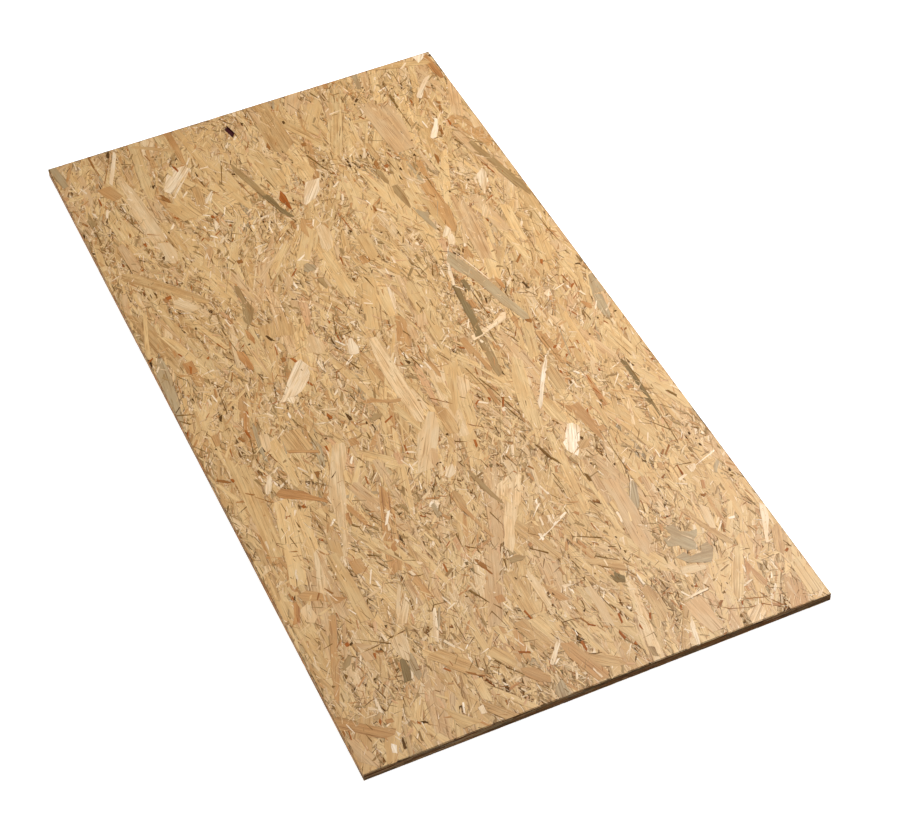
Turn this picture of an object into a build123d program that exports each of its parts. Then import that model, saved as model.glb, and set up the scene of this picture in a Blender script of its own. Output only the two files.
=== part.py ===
"""One sheet of oriented strand board: a flat pressed panel, sawn square on all four sides.

The sheet lies flat, its better face up. The origin is the middle of its underside, +Y runs
along the length, which is the way most of the face strands lie, and +Z is up. Lengths are in
millimetres. The strands, their grain and the fine gaps between them are surface relief and
aren't modelled here. The one gap as large as a strand, near the far short edge, is.
"""

import os

from build123d import *

# Driving dimensions of the sheet
length = 1220.0  # the long side, along Y
width = 610.0  # the short side, along X
thickness = 12.0  # the pressed board, face to face
corner_radius = 2.0  # the four corners, knocked blunt in handling
arris = 0.4  # the saw's sharp edge, rubbed off all round both faces

# The open gap in the upper face, where the strands round it leave a diamond bare
gap_length = 28.0  # tip to tip, along the strands round it
gap_width = 10.0  # from its left corner to its right one
gap_skew = 4.5  # how far the left corner is moved up the length, and the right one down it
gap_corner_radius = 0.8  # its four corners
gap_depth = 2.0  # down to the strands of the layer below
gap_lean = 5.0  # degrees that its far tip leans towards the right edge
gap_left_of_middle = 35.0  # from the sheet's centre line to the gap's middle
gap_from_far_edge = 42.0  # from the far short edge to the gap's middle

upper_face = Plane.XY.offset(thickness)
gap_middle = (-gap_left_of_middle, length / 2 - gap_from_far_edge)
gap_plane = upper_face.move(Location(gap_middle)).rotated((0, 0, -gap_lean))

with BuildPart() as osb_panel:
    # The rectangle that the saw leaves, with its corners knocked blunt
    with BuildSketch(Plane.XY) as outline:
        Rectangle(width, length)
        fillet(outline.vertices(), radius=corner_radius)
    extrude(amount=thickness)

    # The arris, rubbed off round the underside and the upper face
    rims = osb_panel.faces().filter_by(Axis.Z).edges()
    chamfer(rims, length=arris)

    # The bare diamond, sunk from the upper face to the layer below
    with BuildSketch(gap_plane) as gap:
        with BuildLine():
            near_tip = (0, -gap_length / 2)
            right_corner = (gap_width / 2, -gap_skew)
            far_tip = (0, gap_length / 2)
            left_corner = (-gap_width / 2, gap_skew)
            Polyline(near_tip, right_corner, far_tip, left_corner, close=True)
        make_face()
        fillet(gap.vertices(), radius=gap_corner_radius)
    extrude(amount=-gap_depth, mode=Mode.SUBTRACT)

osb_panel.part.label = "osb_panel"

os.makedirs("parts", exist_ok=True)
export_step(osb_panel.part, "parts/osb_panel.step")
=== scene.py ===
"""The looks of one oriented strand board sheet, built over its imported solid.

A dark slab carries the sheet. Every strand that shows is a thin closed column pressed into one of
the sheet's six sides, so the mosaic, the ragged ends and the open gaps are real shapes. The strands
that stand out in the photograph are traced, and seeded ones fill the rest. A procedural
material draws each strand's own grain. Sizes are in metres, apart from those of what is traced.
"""

import math

import bpy
import numpy as np
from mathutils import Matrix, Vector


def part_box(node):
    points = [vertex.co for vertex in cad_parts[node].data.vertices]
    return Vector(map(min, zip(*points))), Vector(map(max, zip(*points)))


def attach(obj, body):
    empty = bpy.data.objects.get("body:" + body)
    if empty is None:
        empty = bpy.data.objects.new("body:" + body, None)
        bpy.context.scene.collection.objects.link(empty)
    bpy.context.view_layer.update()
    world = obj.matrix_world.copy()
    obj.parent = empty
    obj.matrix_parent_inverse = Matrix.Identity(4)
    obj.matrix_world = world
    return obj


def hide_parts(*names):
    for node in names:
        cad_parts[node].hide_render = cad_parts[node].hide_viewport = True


bl_info = {
    "name": "Strand Board Sheet",
    "version": (1, 0, 0),
    "blender": (4, 5, 0),
    "location": "3D Viewport > Sidebar > Strand Board",
    "description": "Dresses a flat sheet of oriented strand board with its strands and sawn edges",
    "category": "Add Mesh",
}

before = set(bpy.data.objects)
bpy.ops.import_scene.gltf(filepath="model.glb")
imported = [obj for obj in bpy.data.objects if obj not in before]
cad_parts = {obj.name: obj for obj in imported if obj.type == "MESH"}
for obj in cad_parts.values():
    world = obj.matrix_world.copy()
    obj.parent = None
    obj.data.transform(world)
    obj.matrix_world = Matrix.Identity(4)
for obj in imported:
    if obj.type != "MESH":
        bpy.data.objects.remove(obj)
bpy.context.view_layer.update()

# The sheet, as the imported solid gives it
SHEET = "osb_panel"
_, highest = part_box(SHEET)
HALF_WIDTH = highest.x
HALF_LENGTH = highest.y
THICKNESS = highest.z

MM = 0.001
UPRIGHT = 90.0  # degrees from the way that a side rises to the way that it runs

# The open gap
GAP_SPREAD = 1.22  # how many times as wide as the slab's gap the strands leave it
GAP_DEPTH_SEEN = 1.5 * MM  # the solid's vertices deeper than this, and inside its rim, are the gap's floor
SHEET_RIM = 5 * MM  # how far in from the sides the solid's rim reaches, at most
GAP_SHADE_REACH = 16 * MM  # how far from the gap's middle the slab's face is as dark as the gap

# The slab
SLAB_ARRIS = 0.3 * MM
BROWN_DEPTH = 0.9 * MM  # how far under the sheet's faces the slab is brown
ROOT_IN_SLAB = 0.2 * MM  # how far the strands reach into the slab

# How each strand lies
TILT = 0.06 * MM  # how much one side or end of a strand sits under the other, about
MOST_TRIM = 0.2 * MM  # how far back from the sheet's arris a strand stops, at most
LEAST_AREA = 1e-8  # a strand's scrap smaller than this, in square metres, is left out
BAKE_TUCK = 0.15  # how far a strand's underside is drawn in on the bake map, as a share
GRAIN_SHIFT = 40  # how far apart, at most, two strands take their grain from the noise
SAWN_RELIEF = 0.7  # the relief of the sawn sides, as a share of the faces'

# How the scattered strands vary
LEAN_WAVE = 0.25  # the length of the waves that the strands lean in
CROWD_WAVE = 0.1  # the length of the waves that small strands crowd in, where no patches are given
PATCH_REACH = 24 * MM
CROWD_COST = 0.5  # how much of a kind's places stay empty, for each share that it crowds
CROWD_GAIN = 0.8  # how much a busy patch fills them again, and a calm one empties more
SCATTERED_WANDER = 0.035  # how much lighter or darker than its tone a strand is, about
TRACED_WANDER = 0.03

# How the traced strands are made from their outlines
LONG_EDGE = 6 * MM  # an edge longer than this gets one more corner
EDGE_WANDER = 0.5 * MM  # how far out of line that corner lies, about
TRACED_LEVEL = 0.998  # how high the smallest ones lie, as a share of the relief
TRACED_SINK = 0.036  # how much lower the large ones lie
LARGE_AREA = 1500 * MM * MM
WIDEST_SPLINTER = 3.5  # in millimetres, as the traced slivers are

# The noise patterns, as features a metre across the grain, along it and from strand to strand
BANDS = (330, 9, 1)
FIBRES = (1500, 55, 1)
MOTTLE = (90, 25, 1)
SCORES = (620, 14, 1)
RIM_BREAKS = (300, 60, 1)
SLAB_MOTTLE = (300, 60, 300)  # on the slab, across the sheet, along it and up

# What the wood's red, green and blue are multiplied by
WARM_PATCH = (1.05, 0.97, 0.86)
DARK_GRAIN = (0.62, 0.52, 0.38)
LIGHT_GRAIN = (1.16, 1.16, 1.15)
SCORE_STAIN = (0.6, 0.48, 0.33)
# The rim's colour is painted shade along each strand's edge, with some resin
RIM_SHADE_AND_RESIN = (0.45, 0.34, 0.22)

ROUNDED_EDGE = 0.9 * MM  # how far in from a strand's rim its top is rounded off, in the shading
GRAIN_RISE = 0.22 * MM  # how high the rim and the fibres stand in the shading

# The shortest and longest strand sections on a sawn side, by how it cuts the lay of the layer
ALONG_THE_LAY = (0.03, 0.12)
ACROSS_THE_LAY = (0.005, 0.025)
ALONG_THE_LAY_INSIDE = (0.02, 0.08)

# How bright the wood of the sawn sides is, against its tones: painted shade on the short sides, painted light
# on the long
SHORT_SIDES_PAINTED_LIGHT = 1.15
LONG_SIDES_PAINTED_LIGHT = 2.4

# The stage
FLOOR_SIZE = 16
FLOOR_DROP = 0.1 * MM
FLOOR_GLOW = 0.8
FLOOR_GREY = 0.72
SENSOR_WIDTH = 36

# Each light's place, the point it faces, how wide it is and the rays that don't meet it
LIGHTS = {
    "key": ((2.4, -0.4, 2.2), (0, 0, 0), 1, ()),
    "side": ((-2.5, 0.2, 0.4), (0, 0, 0), 1, ()),
    "fill": ((1.0, 0.4, 1.4), (0.3, -0.5, 0), 0.8, ("glossy",)),
    "gloss": ((1.2, 0, 1.4), (0.3, -0.5, 0), 0.8, ("diffuse",)),
}


def shade(red, green, blue):
    """A colour as scene-linear values, from the bytes that a screen shows."""
    return tuple(((byte / 255 + 0.055) / 1.055) ** 2.4 for byte in (red, green, blue))


def tone(name, description, red, green, blue):
    """A colour that a user can change, from the bytes that a screen shows."""
    return bpy.props.FloatVectorProperty(
        name=name, description=description, subtype="COLOR", size=3, min=0, max=1,
        default=shade(red, green, blue),
    )


class StrandTones(bpy.types.PropertyGroup):
    """The woods and stains that the strands are coloured with"""

    straw: tone("Straw", "Most of the strands", 213, 179, 127)
    wheat: tone("Wheat", "Slightly deeper than straw", 205, 169, 116)
    honey: tone("Honey", "Golden strands", 195, 157, 105)
    tan: tone("Tan", "Strands of darker wood", 188, 143, 89)
    cream: tone("Cream", "Pale strands", 215, 184, 141)
    pale: tone("Pale", "The palest long strands", 227, 202, 168)
    bone: tone("Bone", "Fresh chips that are nearly white", 238, 219, 193)
    peach: tone("Peach", "Pale strands with a pink cast", 203, 167, 122)
    pink: tone("Pink", "Strands of pink heartwood", 203, 159, 114)
    orange: tone("Orange", "Resin-rich strands", 184, 133, 77)
    rust: tone("Rust", "Flecks of red-brown bark", 159, 92, 37)
    umber: tone("Umber", "Brown weathered strands", 153, 103, 52)
    hazel: tone("Hazel", "Slivers in half shade", 153, 121, 74)
    olive: tone("Olive", "Strands with a green-brown cast", 162, 131, 85)
    grey: tone("Grey", "Strands with a light blue stain", 173, 149, 112)
    slate: tone("Slate", "Strands with a heavy blue stain", 132, 110, 73)
    shadow: tone("Shadow", "Thin slivers in shade", 126, 94, 50)
    bark: tone("Bark", "Slivers in deep shade and specks of bark", 90, 63, 31)
    # The gap tone is painted shade of the open gap's hollow, on the sheet's dark inside
    gap: tone("Gap", "What shows of the sheet's inside in an open gap", 62, 20, 22)


class SheetSizes(bpy.types.PropertyGroup):
    """How the strands lie in the sheet"""

    relief: bpy.props.FloatProperty(
        name="Relief", description="How far under the face the lowest strands lie",
        default=0.55 * MM, min=0, max=2 * MM, unit="LENGTH", precision=5,
    )
    bed: bpy.props.FloatProperty(
        name="Bed", description="How far inside the sheet's sides the dark slab stops",
        default=0.8 * MM, min=0.2 * MM, max=3 * MM, unit="LENGTH", precision=5,
    )
    blunt_corner: bpy.props.FloatProperty(
        name="Blunt corner", description="Radius of the sheet's knocked corners",
        default=2 * MM, min=0, max=20 * MM, unit="LENGTH", precision=5,
    )
    lanes: bpy.props.IntProperty(
        name="Lanes", description="How many pieces the upper face's strands are made in, side by side",
        default=4, min=1, max=12,
    )
    seed: bpy.props.IntProperty(
        name="Seed", description="Picks another scatter of the small strands", default=7, min=0,
    )


class StageSettings(bpy.types.PropertyGroup):
    """The camera and the light"""

    azimuth: bpy.props.FloatProperty(
        name="Azimuth", description="The camera's direction, round from the near edge",
        default=math.radians(-20.6), subtype="ANGLE",
    )
    elevation: bpy.props.FloatProperty(
        name="Elevation", description="The camera's height above the horizon",
        default=math.radians(45.04), subtype="ANGLE",
    )
    roll: bpy.props.FloatProperty(
        name="Roll", description="How far the camera is turned about its line of sight",
        default=math.radians(-4.49), subtype="ANGLE",
    )
    distance: bpy.props.FloatProperty(
        name="Distance", description="From the aim to the camera", default=3.2, unit="LENGTH",
    )
    aim: bpy.props.FloatVectorProperty(
        name="Aim", description="The point of the upper face in the middle of the picture",
        size=3, default=(0.0141, -0.1321, 0.012), subtype="TRANSLATION",
    )
    lens: bpy.props.FloatProperty(
        name="Lens", description="Focal length in millimetres, on a sensor 36 mm wide", default=98.4,
    )
    key_power: bpy.props.FloatProperty(
        name="Key light", description="Watts of the large soft light beyond the right edge",
        default=64, min=0,
    )
    side_power: bpy.props.FloatProperty(
        name="Side light", description="Watts of the low light beyond the left edge", default=30, min=0,
    )
    fill_power: bpy.props.FloatProperty(
        name="Fill light", description="Watts of the light over the near right corner",
        default=17, min=0,
    )
    gloss_power: bpy.props.FloatProperty(
        name="Gloss light", description="Watts of the light that only shows mirrored, in the near right",
        default=52, min=0,
    )
    sky_strength: bpy.props.FloatProperty(
        name="Sky", description="Strength of the even light from all round", default=0.305, min=0,
    )


# Strands that stand out, traced: the x and y of each one's corners, in millimetres.
# For nearly all, a measure of the photograph's colour inside the outline chose the tone it is under.
TRACED_STRANDS = {
    "straw": (
        (-262, 480, -240, 475, -238, 440, -232, 406, -262, 406),
        (20, 460, 40, 450, 45, 425, 30, 406, 18, 420),
        (-18, 205, 0, 205, 0, 160, -5, 145, -18, 150, -21, 170), (-15, 250, 0, 250, 0, 202, -15, 202),
        (22, 160, 40, 158, 40, 120, 33, 95, 28, 85, 20, 85, 18, 120),
        (-214, -65, -201, -60, -200, -100, -203, -150, -210, -155, -214, -120, -217, -90),
        (26, -60, 34, -65, 36, -85, 31, -100, 25, -80),
        (135, -60, 145, -75, 138, -105, 125, -150, 118, -202, 95, -225, 103, -202, 105, -150, 118, -100),
        (131, -165, 142, -150, 150, -165, 152, -195, 145, -205, 135, -190, 130, -178),
        (-172, -470, -162, -478, -165, -482, -175, -482),
        (-40, -485, -22, -485, -20, -520, -25, -528, -33, -510, -38, -498),
        (247, -490, 247, -497, 238, -515, 225, -540, 212, -562, 205, -573, 200, -570, 203, -548, 212, -530,
         224, -512, 236, -492), (-138, -540, -125, -540, -128, -580, -138, -570),
        (205, -501, 221, -501, 221, -509, 205, -509), (285, -545, 303, -540, 303, -600, 282, -600),
    ),
    "wheat": (
        (-178, 445, -160, 440, -140, 450, -135, 406, -165, 406),
        (-29, 480, -12, 510, -2, 470, 2, 440, -5, 412, -22, 420, -27, 450),
        (42, 262, 58, 262, 60, 240, 55, 210, 42, 205, 40, 235),
        (-275, -60, -262, -85, -250, -90, -247, -120, -252, -145, -258, -202, -262, -255, -283, -260, -280,
         -202, -278, -140), (37, 2, 46, 2, 50, -10, 42, -18, 38, -12),
        (45, -40, 58, -50, 50, -75, 38, -105, 22, -130, 22, -110, 36, -75),
        (-220, -280, -206, -280, -203, -330, -203, -400, -222, -400, -221, -340),
        (-40, -406, -20, -406, -20, -480, -40, -480), (270, -347, 284, -347, 284, -353, 270, -353),
        (-185, -560, -160, -590, -150, -600, -175, -600, -180, -580),
        (-101, -502, -92, -505, -80, -522, -78, -540, -85, -545, -101, -520),
    ),
    "honey": (
        (5, 612, 40, 612, 40, 500, 20, 480, 5, 500), (157, 612, 162, 612, 162, 590, 157, 590),
        (-304, 356, -296, 356, -296, 344, -304, 344),
        (-290, 345, -262, 330, -235, 298, -222, 278, -200, 250, -190, 232, -192, 225, -205, 235, -228, 262,
         -245, 282, -262, 300, -283, 322), (-131, 470, -120, 470, -121, 440, -133, 406, -137, 420),
        (133, 450, 140, 445, 141, 406, 133, 406, 130, 420),
        (-151, 142, -140, 150, -128, 148, -118, 165, -110, 160, -101, 120, -112, 112, -125, 118, -138, 118,
         -146, 122, -152, 135), (-197, -62, -180, -55, -168, -60, -165, -100, -178, -100, -198, -90),
        (-180, -22, -172, -22, -172, -38, -180, -38),
        (5, -100, 18, -110, 20, -140, 14, -160, 3, -155, 2, -130),
        (-38, -252, -32, -250, -27, -262, -30, -285, -38, -285, -40, -265),
        (143, -243, 157, -243, 157, -257, 143, -257),
        (162, -108, 176, -100, 179, -130, 174, -150, 163, -145),
        (-170, -480, -150, -480, -138, -497, -128, -510, -121, -538, -138, -530, -150, -515, -160, -500,
         -170, -490),
        (-57, -482, -42, -482, -38, -500, -33, -515, -26, -528, -28, -536, -38, -536, -47, -540, -50, -520,
         -54, -500), (22, -340, 38, -335, 52, -335, 55, -360, 40, -368, 28, -362),
        (63, -425, 80, -436, 100, -447, 103, -450, 103, -470, 90, -460, 78, -445, 65, -437),
        (205, -406, 215, -410, 222, -440, 238, -475, 240, -490, 232, -480, 215, -440),
        (290, -490, 303, -480, 303, -505, 285, -530, 280, -515),
        (-140, -572, -128, -585, -108, -610, -125, -610, -140, -590),
        (2, -565, 15, -570, 30, -582, 38, -598, 28, -597, 10, -590, 5, -578),
        (103, -502, 115, -500, 120, -520, 118, -545, 108, -560, 103, -560),
    ),
    "tan": (
        (-255, 530, -235, 530, -225, 500, -240, 495, -250, 510),
        (-163, 585, -157, 585, -160, 540, -167, 540),
        (-126, 612, -115, 612, -115, 560, -119, 525, -124, 530, -125, 570),
        (128, 612, 135, 612, 135, 598, 128, 598), (-12, 335, -3, 322, -5, 300, -18, 290, -22, 310),
        (-262, 103, -252, 100, -248, 85, -255, 73, -262, 78), (28, 220, 40, 220, 40, 202, 28, 202),
        (170, 168, 173, 160, 174, 148, 169, 140, 167, 150),
        (183, 275, 186, 262, 183, 240, 180, 230, 176, 212, 170, 205, 166, 215, 170, 245, 178, 262),
        (-277, -20, -269, -18, -268, -32, -272, -42, -278, -40),
        (-198, -88, -180, -95, -162, -104, -160, -112, -178, -102, -196, -94),
        (-76, -50, -62, -47, -48, -60, -27, -66, -29, -72, -45, -67, -62, -58, -76, -56),
        (27, 2, 33, 2, 34, -15, 38, -30, 38, -45, 36, -55, 33, -50, 31, -30, 28, -12),
        (86, 2, 95, 2, 98, -30, 103, -70, 97, -75, 92, -35, 87, -30),
        (165, 8, 172, 12, 175, 0, 173, -12, 169, -18, 165, -10),
        (183, -30, 196, -35, 196, -75, 192, -105, 187, -100, 184, -60),
        (-164, -206, -158, -220, -153, -240, -151, -252, -156, -256, -160, -240, -166, -222),
        (-120, -106, -108, -106, -108, -119, -120, -119),
        (-35, -270, -32, -275, -28, -300, -22, -330, -19, -345, -22, -345, -28, -325, -33, -300, -38, -280),
        (79, -102, 85, -102, 85, -138, 79, -138),
        (150, -160, 158, -172, 165, -180, 178, -178, 180, -205, 179, -230, 175, -262, 170, -235, 166, -222,
         165, -205, 160, -190), (179, -230, 188, -230, 188, -240, 179, -240),
        (-275, -325, -262, -322, -245, -335, -240, -345, -243, -352, -258, -343, -272, -336),
        (-239, -342, -232, -348, -221, -355, -232, -359, -238, -358, -240, -350),
        (-198, -302, -182, -302, -181, -325, -198, -325),
        (1, -440, 8, -450, 16, -465, 20, -478, 8, -475, 3, -462),
        (217, -322, 224, -324, 221, -338, 217, -335),
        (-305, -520, -298, -520, -285, -535, -262, -555, -245, -565, -250, -573, -262, -573, -275, -565,
         -290, -550, -305, -540), (-78, -548, -62, -555, -52, -575, -55, -584, -68, -576, -78, -562),
        (-20, -535, -5, -540, 0, -560, 5, -575, 12, -600, 8, -608, -5, -605, -20, -560),
        (240, -528, 245, -550, 243, -565, 238, -560, 236, -540),
    ),
    "cream": (
        (-219, 545, -213, 545, -206, 500, -200, 440, -199, 406, -200, 385, -203, 378, -220, 380, -224, 406,
         -226, 440, -224, 480, -221, 520),
        (-215, 378, -199, 372, -195, 350, -200, 330, -206, 325, -220, 335, -214, 350),
        (-20, 402, -22, 395, -27, 391, -27, 396),
        (0, 310, 10, 308, 15, 290, 12, 270, 5, 255, -5, 250, -10, 262, -5, 280, -3, 300),
        (300, 440, 303, 406, 290, 406, 293, 425),
        (-236, 252, -222, 252, -208, 228, -210, 220, -225, 222, -236, 235),
        (-88, 103, -84, 92, -80, 78, -80, 66, -92, 60, -100, 68, -110, 72, -106, 80, -98, 88, -97, 96),
        (248, 252, 238, 240, 232, 220, 222, 212, 219, 222, 228, 240),
        (-220, -45, -210, -48, -202, -60, -212, -64, -214, -75, -222, -80, -223, -60),
        (-22, 58, -12, 58, -9, 30, -10, -60, -10, -100, -18, -122, -26, -115, -30, -60, -30, 0, -27, 30),
        (55, -60, 66, -75, 62, -90, 52, -105, 42, -110, 45, -95, 50, -75),
        (-296, -262, -288, -262, -288, -272, -296, -274),
        (-222, -262, -218, -280, -232, -320, -243, -340, -250, -330, -240, -300, -232, -270),
        (-140, -105, -125, -108, -132, -135, -148, -160, -160, -202, -170, -225, -178, -250, -185, -280,
         -195, -280, -188, -250, -180, -202, -170, -165, -155, -135),
        (-5, -105, 2, -110, -3, -135, -12, -155, -25, -175, -38, -202, -62, -202, -52, -180, -42, -155,
         -35, -138, -22, -128),
        (55, -262, 50, -285, 42, -300, 28, -312, 10, -340, 0, -365, -10, -380, -15, -365, -5, -345, 5,
         -320, 15, -300, 12, -280, 22, -265, 40, -257),
        (226, -114, 229, -120, 224, -135, 221, -145, 217, -140, 221, -125),
        (-275, -345, -262, -340, -258, -360, -272, -375, -280, -370, -281, -350),
        (-200, -440, -182, -436, -181, -450, -187, -470, -192, -480, -199, -470, -202, -450),
        (-172, -400, -160, -385, -158, -400, -172, -425, -186, -420),
        (-157, -362, -155, -368, -168, -395, -173, -406, -178, -406, -168, -385),
        (-11, -478, -2, -480, -1, -488, -4, -492, -11, -490),
        (-6, -410, -1, -440, -2, -475, -8, -478, -12, -450, -10, -420),
        (42, -470, 52, -470, 55, -500, 50, -540, 42, -535, 44, -500),
        (62, -349, 76, -346, 74, -354, 60, -357), (82, -420, 95, -412, 103, -435, 85, -432),
        (148, -481, 158, -480, 160, -495, 157, -500, 150, -492),
        (162, -492, 178, -494, 192, -502, 190, -508, 172, -508, 160, -503),
        (180, -378, 192, -380, 190, -400, 183, -400),
        (232, -410, 240, -420, 236, -440, 232, -455, 226, -450, 226, -430),
        (-195, -520, -188, -535, -198, -540, -202, -530),
        (200, -590, 222, -585, 222, -600, 212, -610, 198, -610),
    ),
    "pale": (
        (-150, 522, -120, 524, -119, 515, -160, 470, -168, 483, -160, 500),
        (283, 556, 280, 548, 262, 528, 250, 508, 245, 512, 246, 520, 262, 540, 275, 553),
        (-256, 482, -254, 480, -260, 462, -262, 465),
        (-124, 390, -122, 378, -126, 370, -132, 368, -128, 380),
        (-106, 452, -104, 448, -117, 425, -124, 428, -122, 436),
        (22, 406, 45, 406, 38, 392, 32, 378, 20, 365, 5, 358, 3, 362, 12, 385),
        (124, 440, 129, 438, 127, 425, 120, 415, 118, 422, 123, 430),
        (262, 318, 264, 305, 258, 290, 243, 262, 241, 264, 245, 285, 247, 298, 240, 297, 250, 308),
        (41, 150, 43, 140, 42, 115, 35, 100, 30, 85, 32, 100, 36, 120, 39, 138),
        (146, 178, 152, 185, 140, 165, 134, 152, 128, 135, 125, 115, 122, 105, 126, 103, 130, 120, 135,
         140, 138, 152), (158, 203, 166, 205, 164, 190, 158, 180, 152, 186),
        (166, 226, 168, 215, 165, 204, 150, 202, 155, 212),
        (-162, 2, -153, 2, -150, -3, -158, -12, -163, -5),
        (-119, 64, -116, 50, -113, 38, -120, 28, -130, 15, -140, 5, -160, -3, -175, -2, -160, 15, -150, 32,
         -140, 45, -128, 60), (-47, 70, -42, 72, -40, 50, -44, 38, -55, 40, -57, 48),
        (165, 22, 160, 10, 140, 3, 120, -5, 103, -10, 103, 0, 120, 5, 140, 10, 150, 17, 160, 25),
        (200, 84, 201, 80, 194, 72, 190, 70, 191, 76), (238, 38, 236, 25, 228, 25, 226, 32),
        (-238, -120, -232, -118, -233, -130, -238, -140, -243, -150, -249, -150, -246, -135, -240, -128),
        (-28, -212, -15, -206, -17, -222, -28, -228, -33, -222), (20, -452, 33, -456, 30, -459, 22, -460),
        (250, -344, 260, -344, 258, -352, 253, -356),
        (300, -440, 305, -448, 298, -470, 285, -490, 278, -505, 275, -503, 284, -480, 292, -458),
        (-247, -568, -243, -575, -248, -578), (-148, -580, -140, -578, -141, -592, -148, -590),
        (-22, -530, -20, -535, -42, -562, -45, -558, -30, -540), (10, -563, 13, -558, 12, -568, 7, -566),
        (137, -572, 136, -582, 131, -600, 128, -610, 124, -610, 127, -595, 130, -580),
    ),
    "bone": (
        (278, 612, 297, 612, 290, 598, 280, 590),
        (248, 457, 251, 452, 246, 437, 232, 412, 226, 412, 224, 418, 238, 437),
        (177, -77, 174, -90, 160, -115, 145, -140, 133, -162, 127, -168, 129, -155, 140, -140, 152, -115,
         165, -95), (-63, -252, -57, -257, -60, -270, -72, -262, -68, -256),
        (146, -208, 153, -209, 158, -216, 157, -226, 150, -238, 143, -250, 139, -259, 134, -266, 129, -258,
         126, -248, 127, -236, 134, -228, 140, -218), (-259, -583, -254, -588, -258, -600, -263, -596),
    ),
    "peach": (
        (58, 560, 80, 575, 95, 612, 70, 612, 60, 590),
        (160, 540, 205, 520, 203, 450, 195, 406, 165, 406, 160, 470),
        (-268, 395, -258, 400, -252, 370, -250, 345, -258, 325, -266, 335, -268, 360),
        (280, 125, 295, 125, 295, 100, 280, 100), (45, 60, 52, 72, 66, 70, 62, 50, 50, 42),
        (-38, -178, -28, -168, -22, -175, -30, -195, -38, -200),
        (-240, -425, -222, -438, -213, -440, -235, -440), (-240, -443, -227, -443, -227, -460, -240, -458),
        (-150, -362, -141, -362, -141, -406, -150, -406),
        (141, -318, 155, -322, 161, -350, 160, -378, 155, -430, 148, -455, 135, -455, 130, -430, 133, -400,
         141, -360), (-303, -555, -290, -560, -280, -600, -285, -608, -303, -590),
        (140, -545, 165, -543, 165, -600, 150, -600, 140, -570),
    ),
    "pink": (
        (-306, 538, -300, 536, -297, 530, -302, 525, -306, 527),
        (-80, 175, -70, 178, -72, 150, -80, 125, -88, 118, -86, 140),
        (-70, -145, -68, -165, -72, -178, -78, -175, -77, -158),
    ),
    "orange": (
        (291, 600, 299, 606, 302, 560, 300, 540, 295, 540, 290, 565),
        (-30, 335, -24, 335, -25, 318, -30, 316), (-265, 128, -251, 128, -251, 103, -265, 103),
        (-246, 263, -239, 262, -239, 254, -246, 254),
        (-191, 118, -183, 112, -181, 95, -181, 75, -185, 72, -190, 85, -193, 100),
        (-166, 155, -162, 145, -160, 130, -164, 118, -168, 135),
        (128, 65, 134, 66, 136, 55, 133, 48, 127, 52),
        (182, 95, 186, 85, 186, 70, 184, 65, 180, 75, 179, 85),
        (264, -5, 268, -5, 275, -15, 272, -25, 266, -18),
        (-238, -155, -228, -148, -222, -152, -214, -158, -204, -165, -196, -178, -182, -192, -184, -198,
         -195, -188, -208, -180, -220, -172, -236, -162),
        (-171, -225, -166, -225, -168, -238, -170, -247, -173, -240),
        (-138, -298, -134, -298, -135, -310, -141, -312, -142, -304),
        (206, -132, 211, -140, 211, -170, 209, -200, 203, -200, 204, -165),
        (246, -180, 254, -180, 254, -187, 246, -187),
        (-279, -333, -279, -345, -283, -355, -287, -367, -297, -367, -290, -355, -287, -345, -284, -335),
        (-60, -434, -50, -434, -50, -446, -60, -446), (12, -375, 20, -372, 18, -380, 13, -380),
        (-252, -548, -244, -549, -243, -556, -252, -555),
        (239, -516, 241, -530, 236, -536, 229, -540, 232, -530),
    ),
    "rust": (
        (-17, 406, -14, 390, -15, 378, -17, 352, -20, 365, -26, 385, -22, 395),
        (138, 389, 144, 389, 144, 381, 138, 381),
        (-262, 116, -258, 121, -255, 115, -258, 108, -260, 103, -263, 106, -260, 112),
        (-242, 264, -234, 265, -234, 258, -241, 257),
    ),
    "umber": (
        (5, 518, 0, 508, 3, 498, 6, 505),
        (-177, 478, -173, 475, -167, 462, -167, 452, -171, 455, -176, 466),
        (48, 492, 56, 492, 56, 484, 48, 484), (133, 406, 133, 392, 130, 383, 126, 386, 127, 400),
        (214, 380, 217, 375, 215, 360, 209, 352, 211, 365),
        (266, 492, 272, 488, 268, 478, 264, 462, 261, 468, 267, 482),
        (-127, 291, -119, 291, -119, 283, -127, 283), (-143, 77, -137, 77, -137, 69, -143, 69),
        (181, 2, 189, 2, 190, -8, 186, -14, 182, -8),
        (-57, -367, -53, -370, -48, -382, -49, -390, -46, -400, -48, -400, -52, -388, -56, -378),
    ),
    "olive": (
        (-282, 490, -280, 465, -280, 455, -288, 452, -289, 470),
        (-60, 500, -54, 480, -47, 455, -40, 420, -37, 406, -45, 406, -50, 425, -57, 455, -62, 480),
        (119, 395, 121, 380, 125, 352, 128, 345, 131, 352, 131, 375, 127, 385),
        (130, 340, 139, 340, 141, 320, 139, 300, 137, 285, 134, 282, 131, 300, 128, 325),
        (269, 380, 276, 382, 280, 362, 288, 330, 295, 295, 302, 265, 304, 235, 299, 230, 293, 250, 288,
         262, 281, 300, 277, 335, 271, 360),
        (-149, 203, -142, 205, -140, 185, -150, 165, -158, 157, -160, 175, -155, 192),
        (-148, 243, -143, 240, -143, 205, -150, 203, -151, 225),
        (-43, 138, -40, 138, -41, 118, -42, 105, -46, 105, -46, 120),
        (-40, 203, -31, 203, -31, 185, -35, 178, -39, 190),
        (-78, -84, -70, -76, -60, -82, -66, -88, -75, -90),
        (120, -5, 119, -25, 117, -45, 114, -65, 112, -85, 104, -88, 103, -75, 106, -45, 108, -5, 111, 2),
        (-3, -225, 0, -230, 5, -245, 8, -262, 15, -298, 12, -297, 5, -280, 0, -262, -3, -240),
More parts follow.
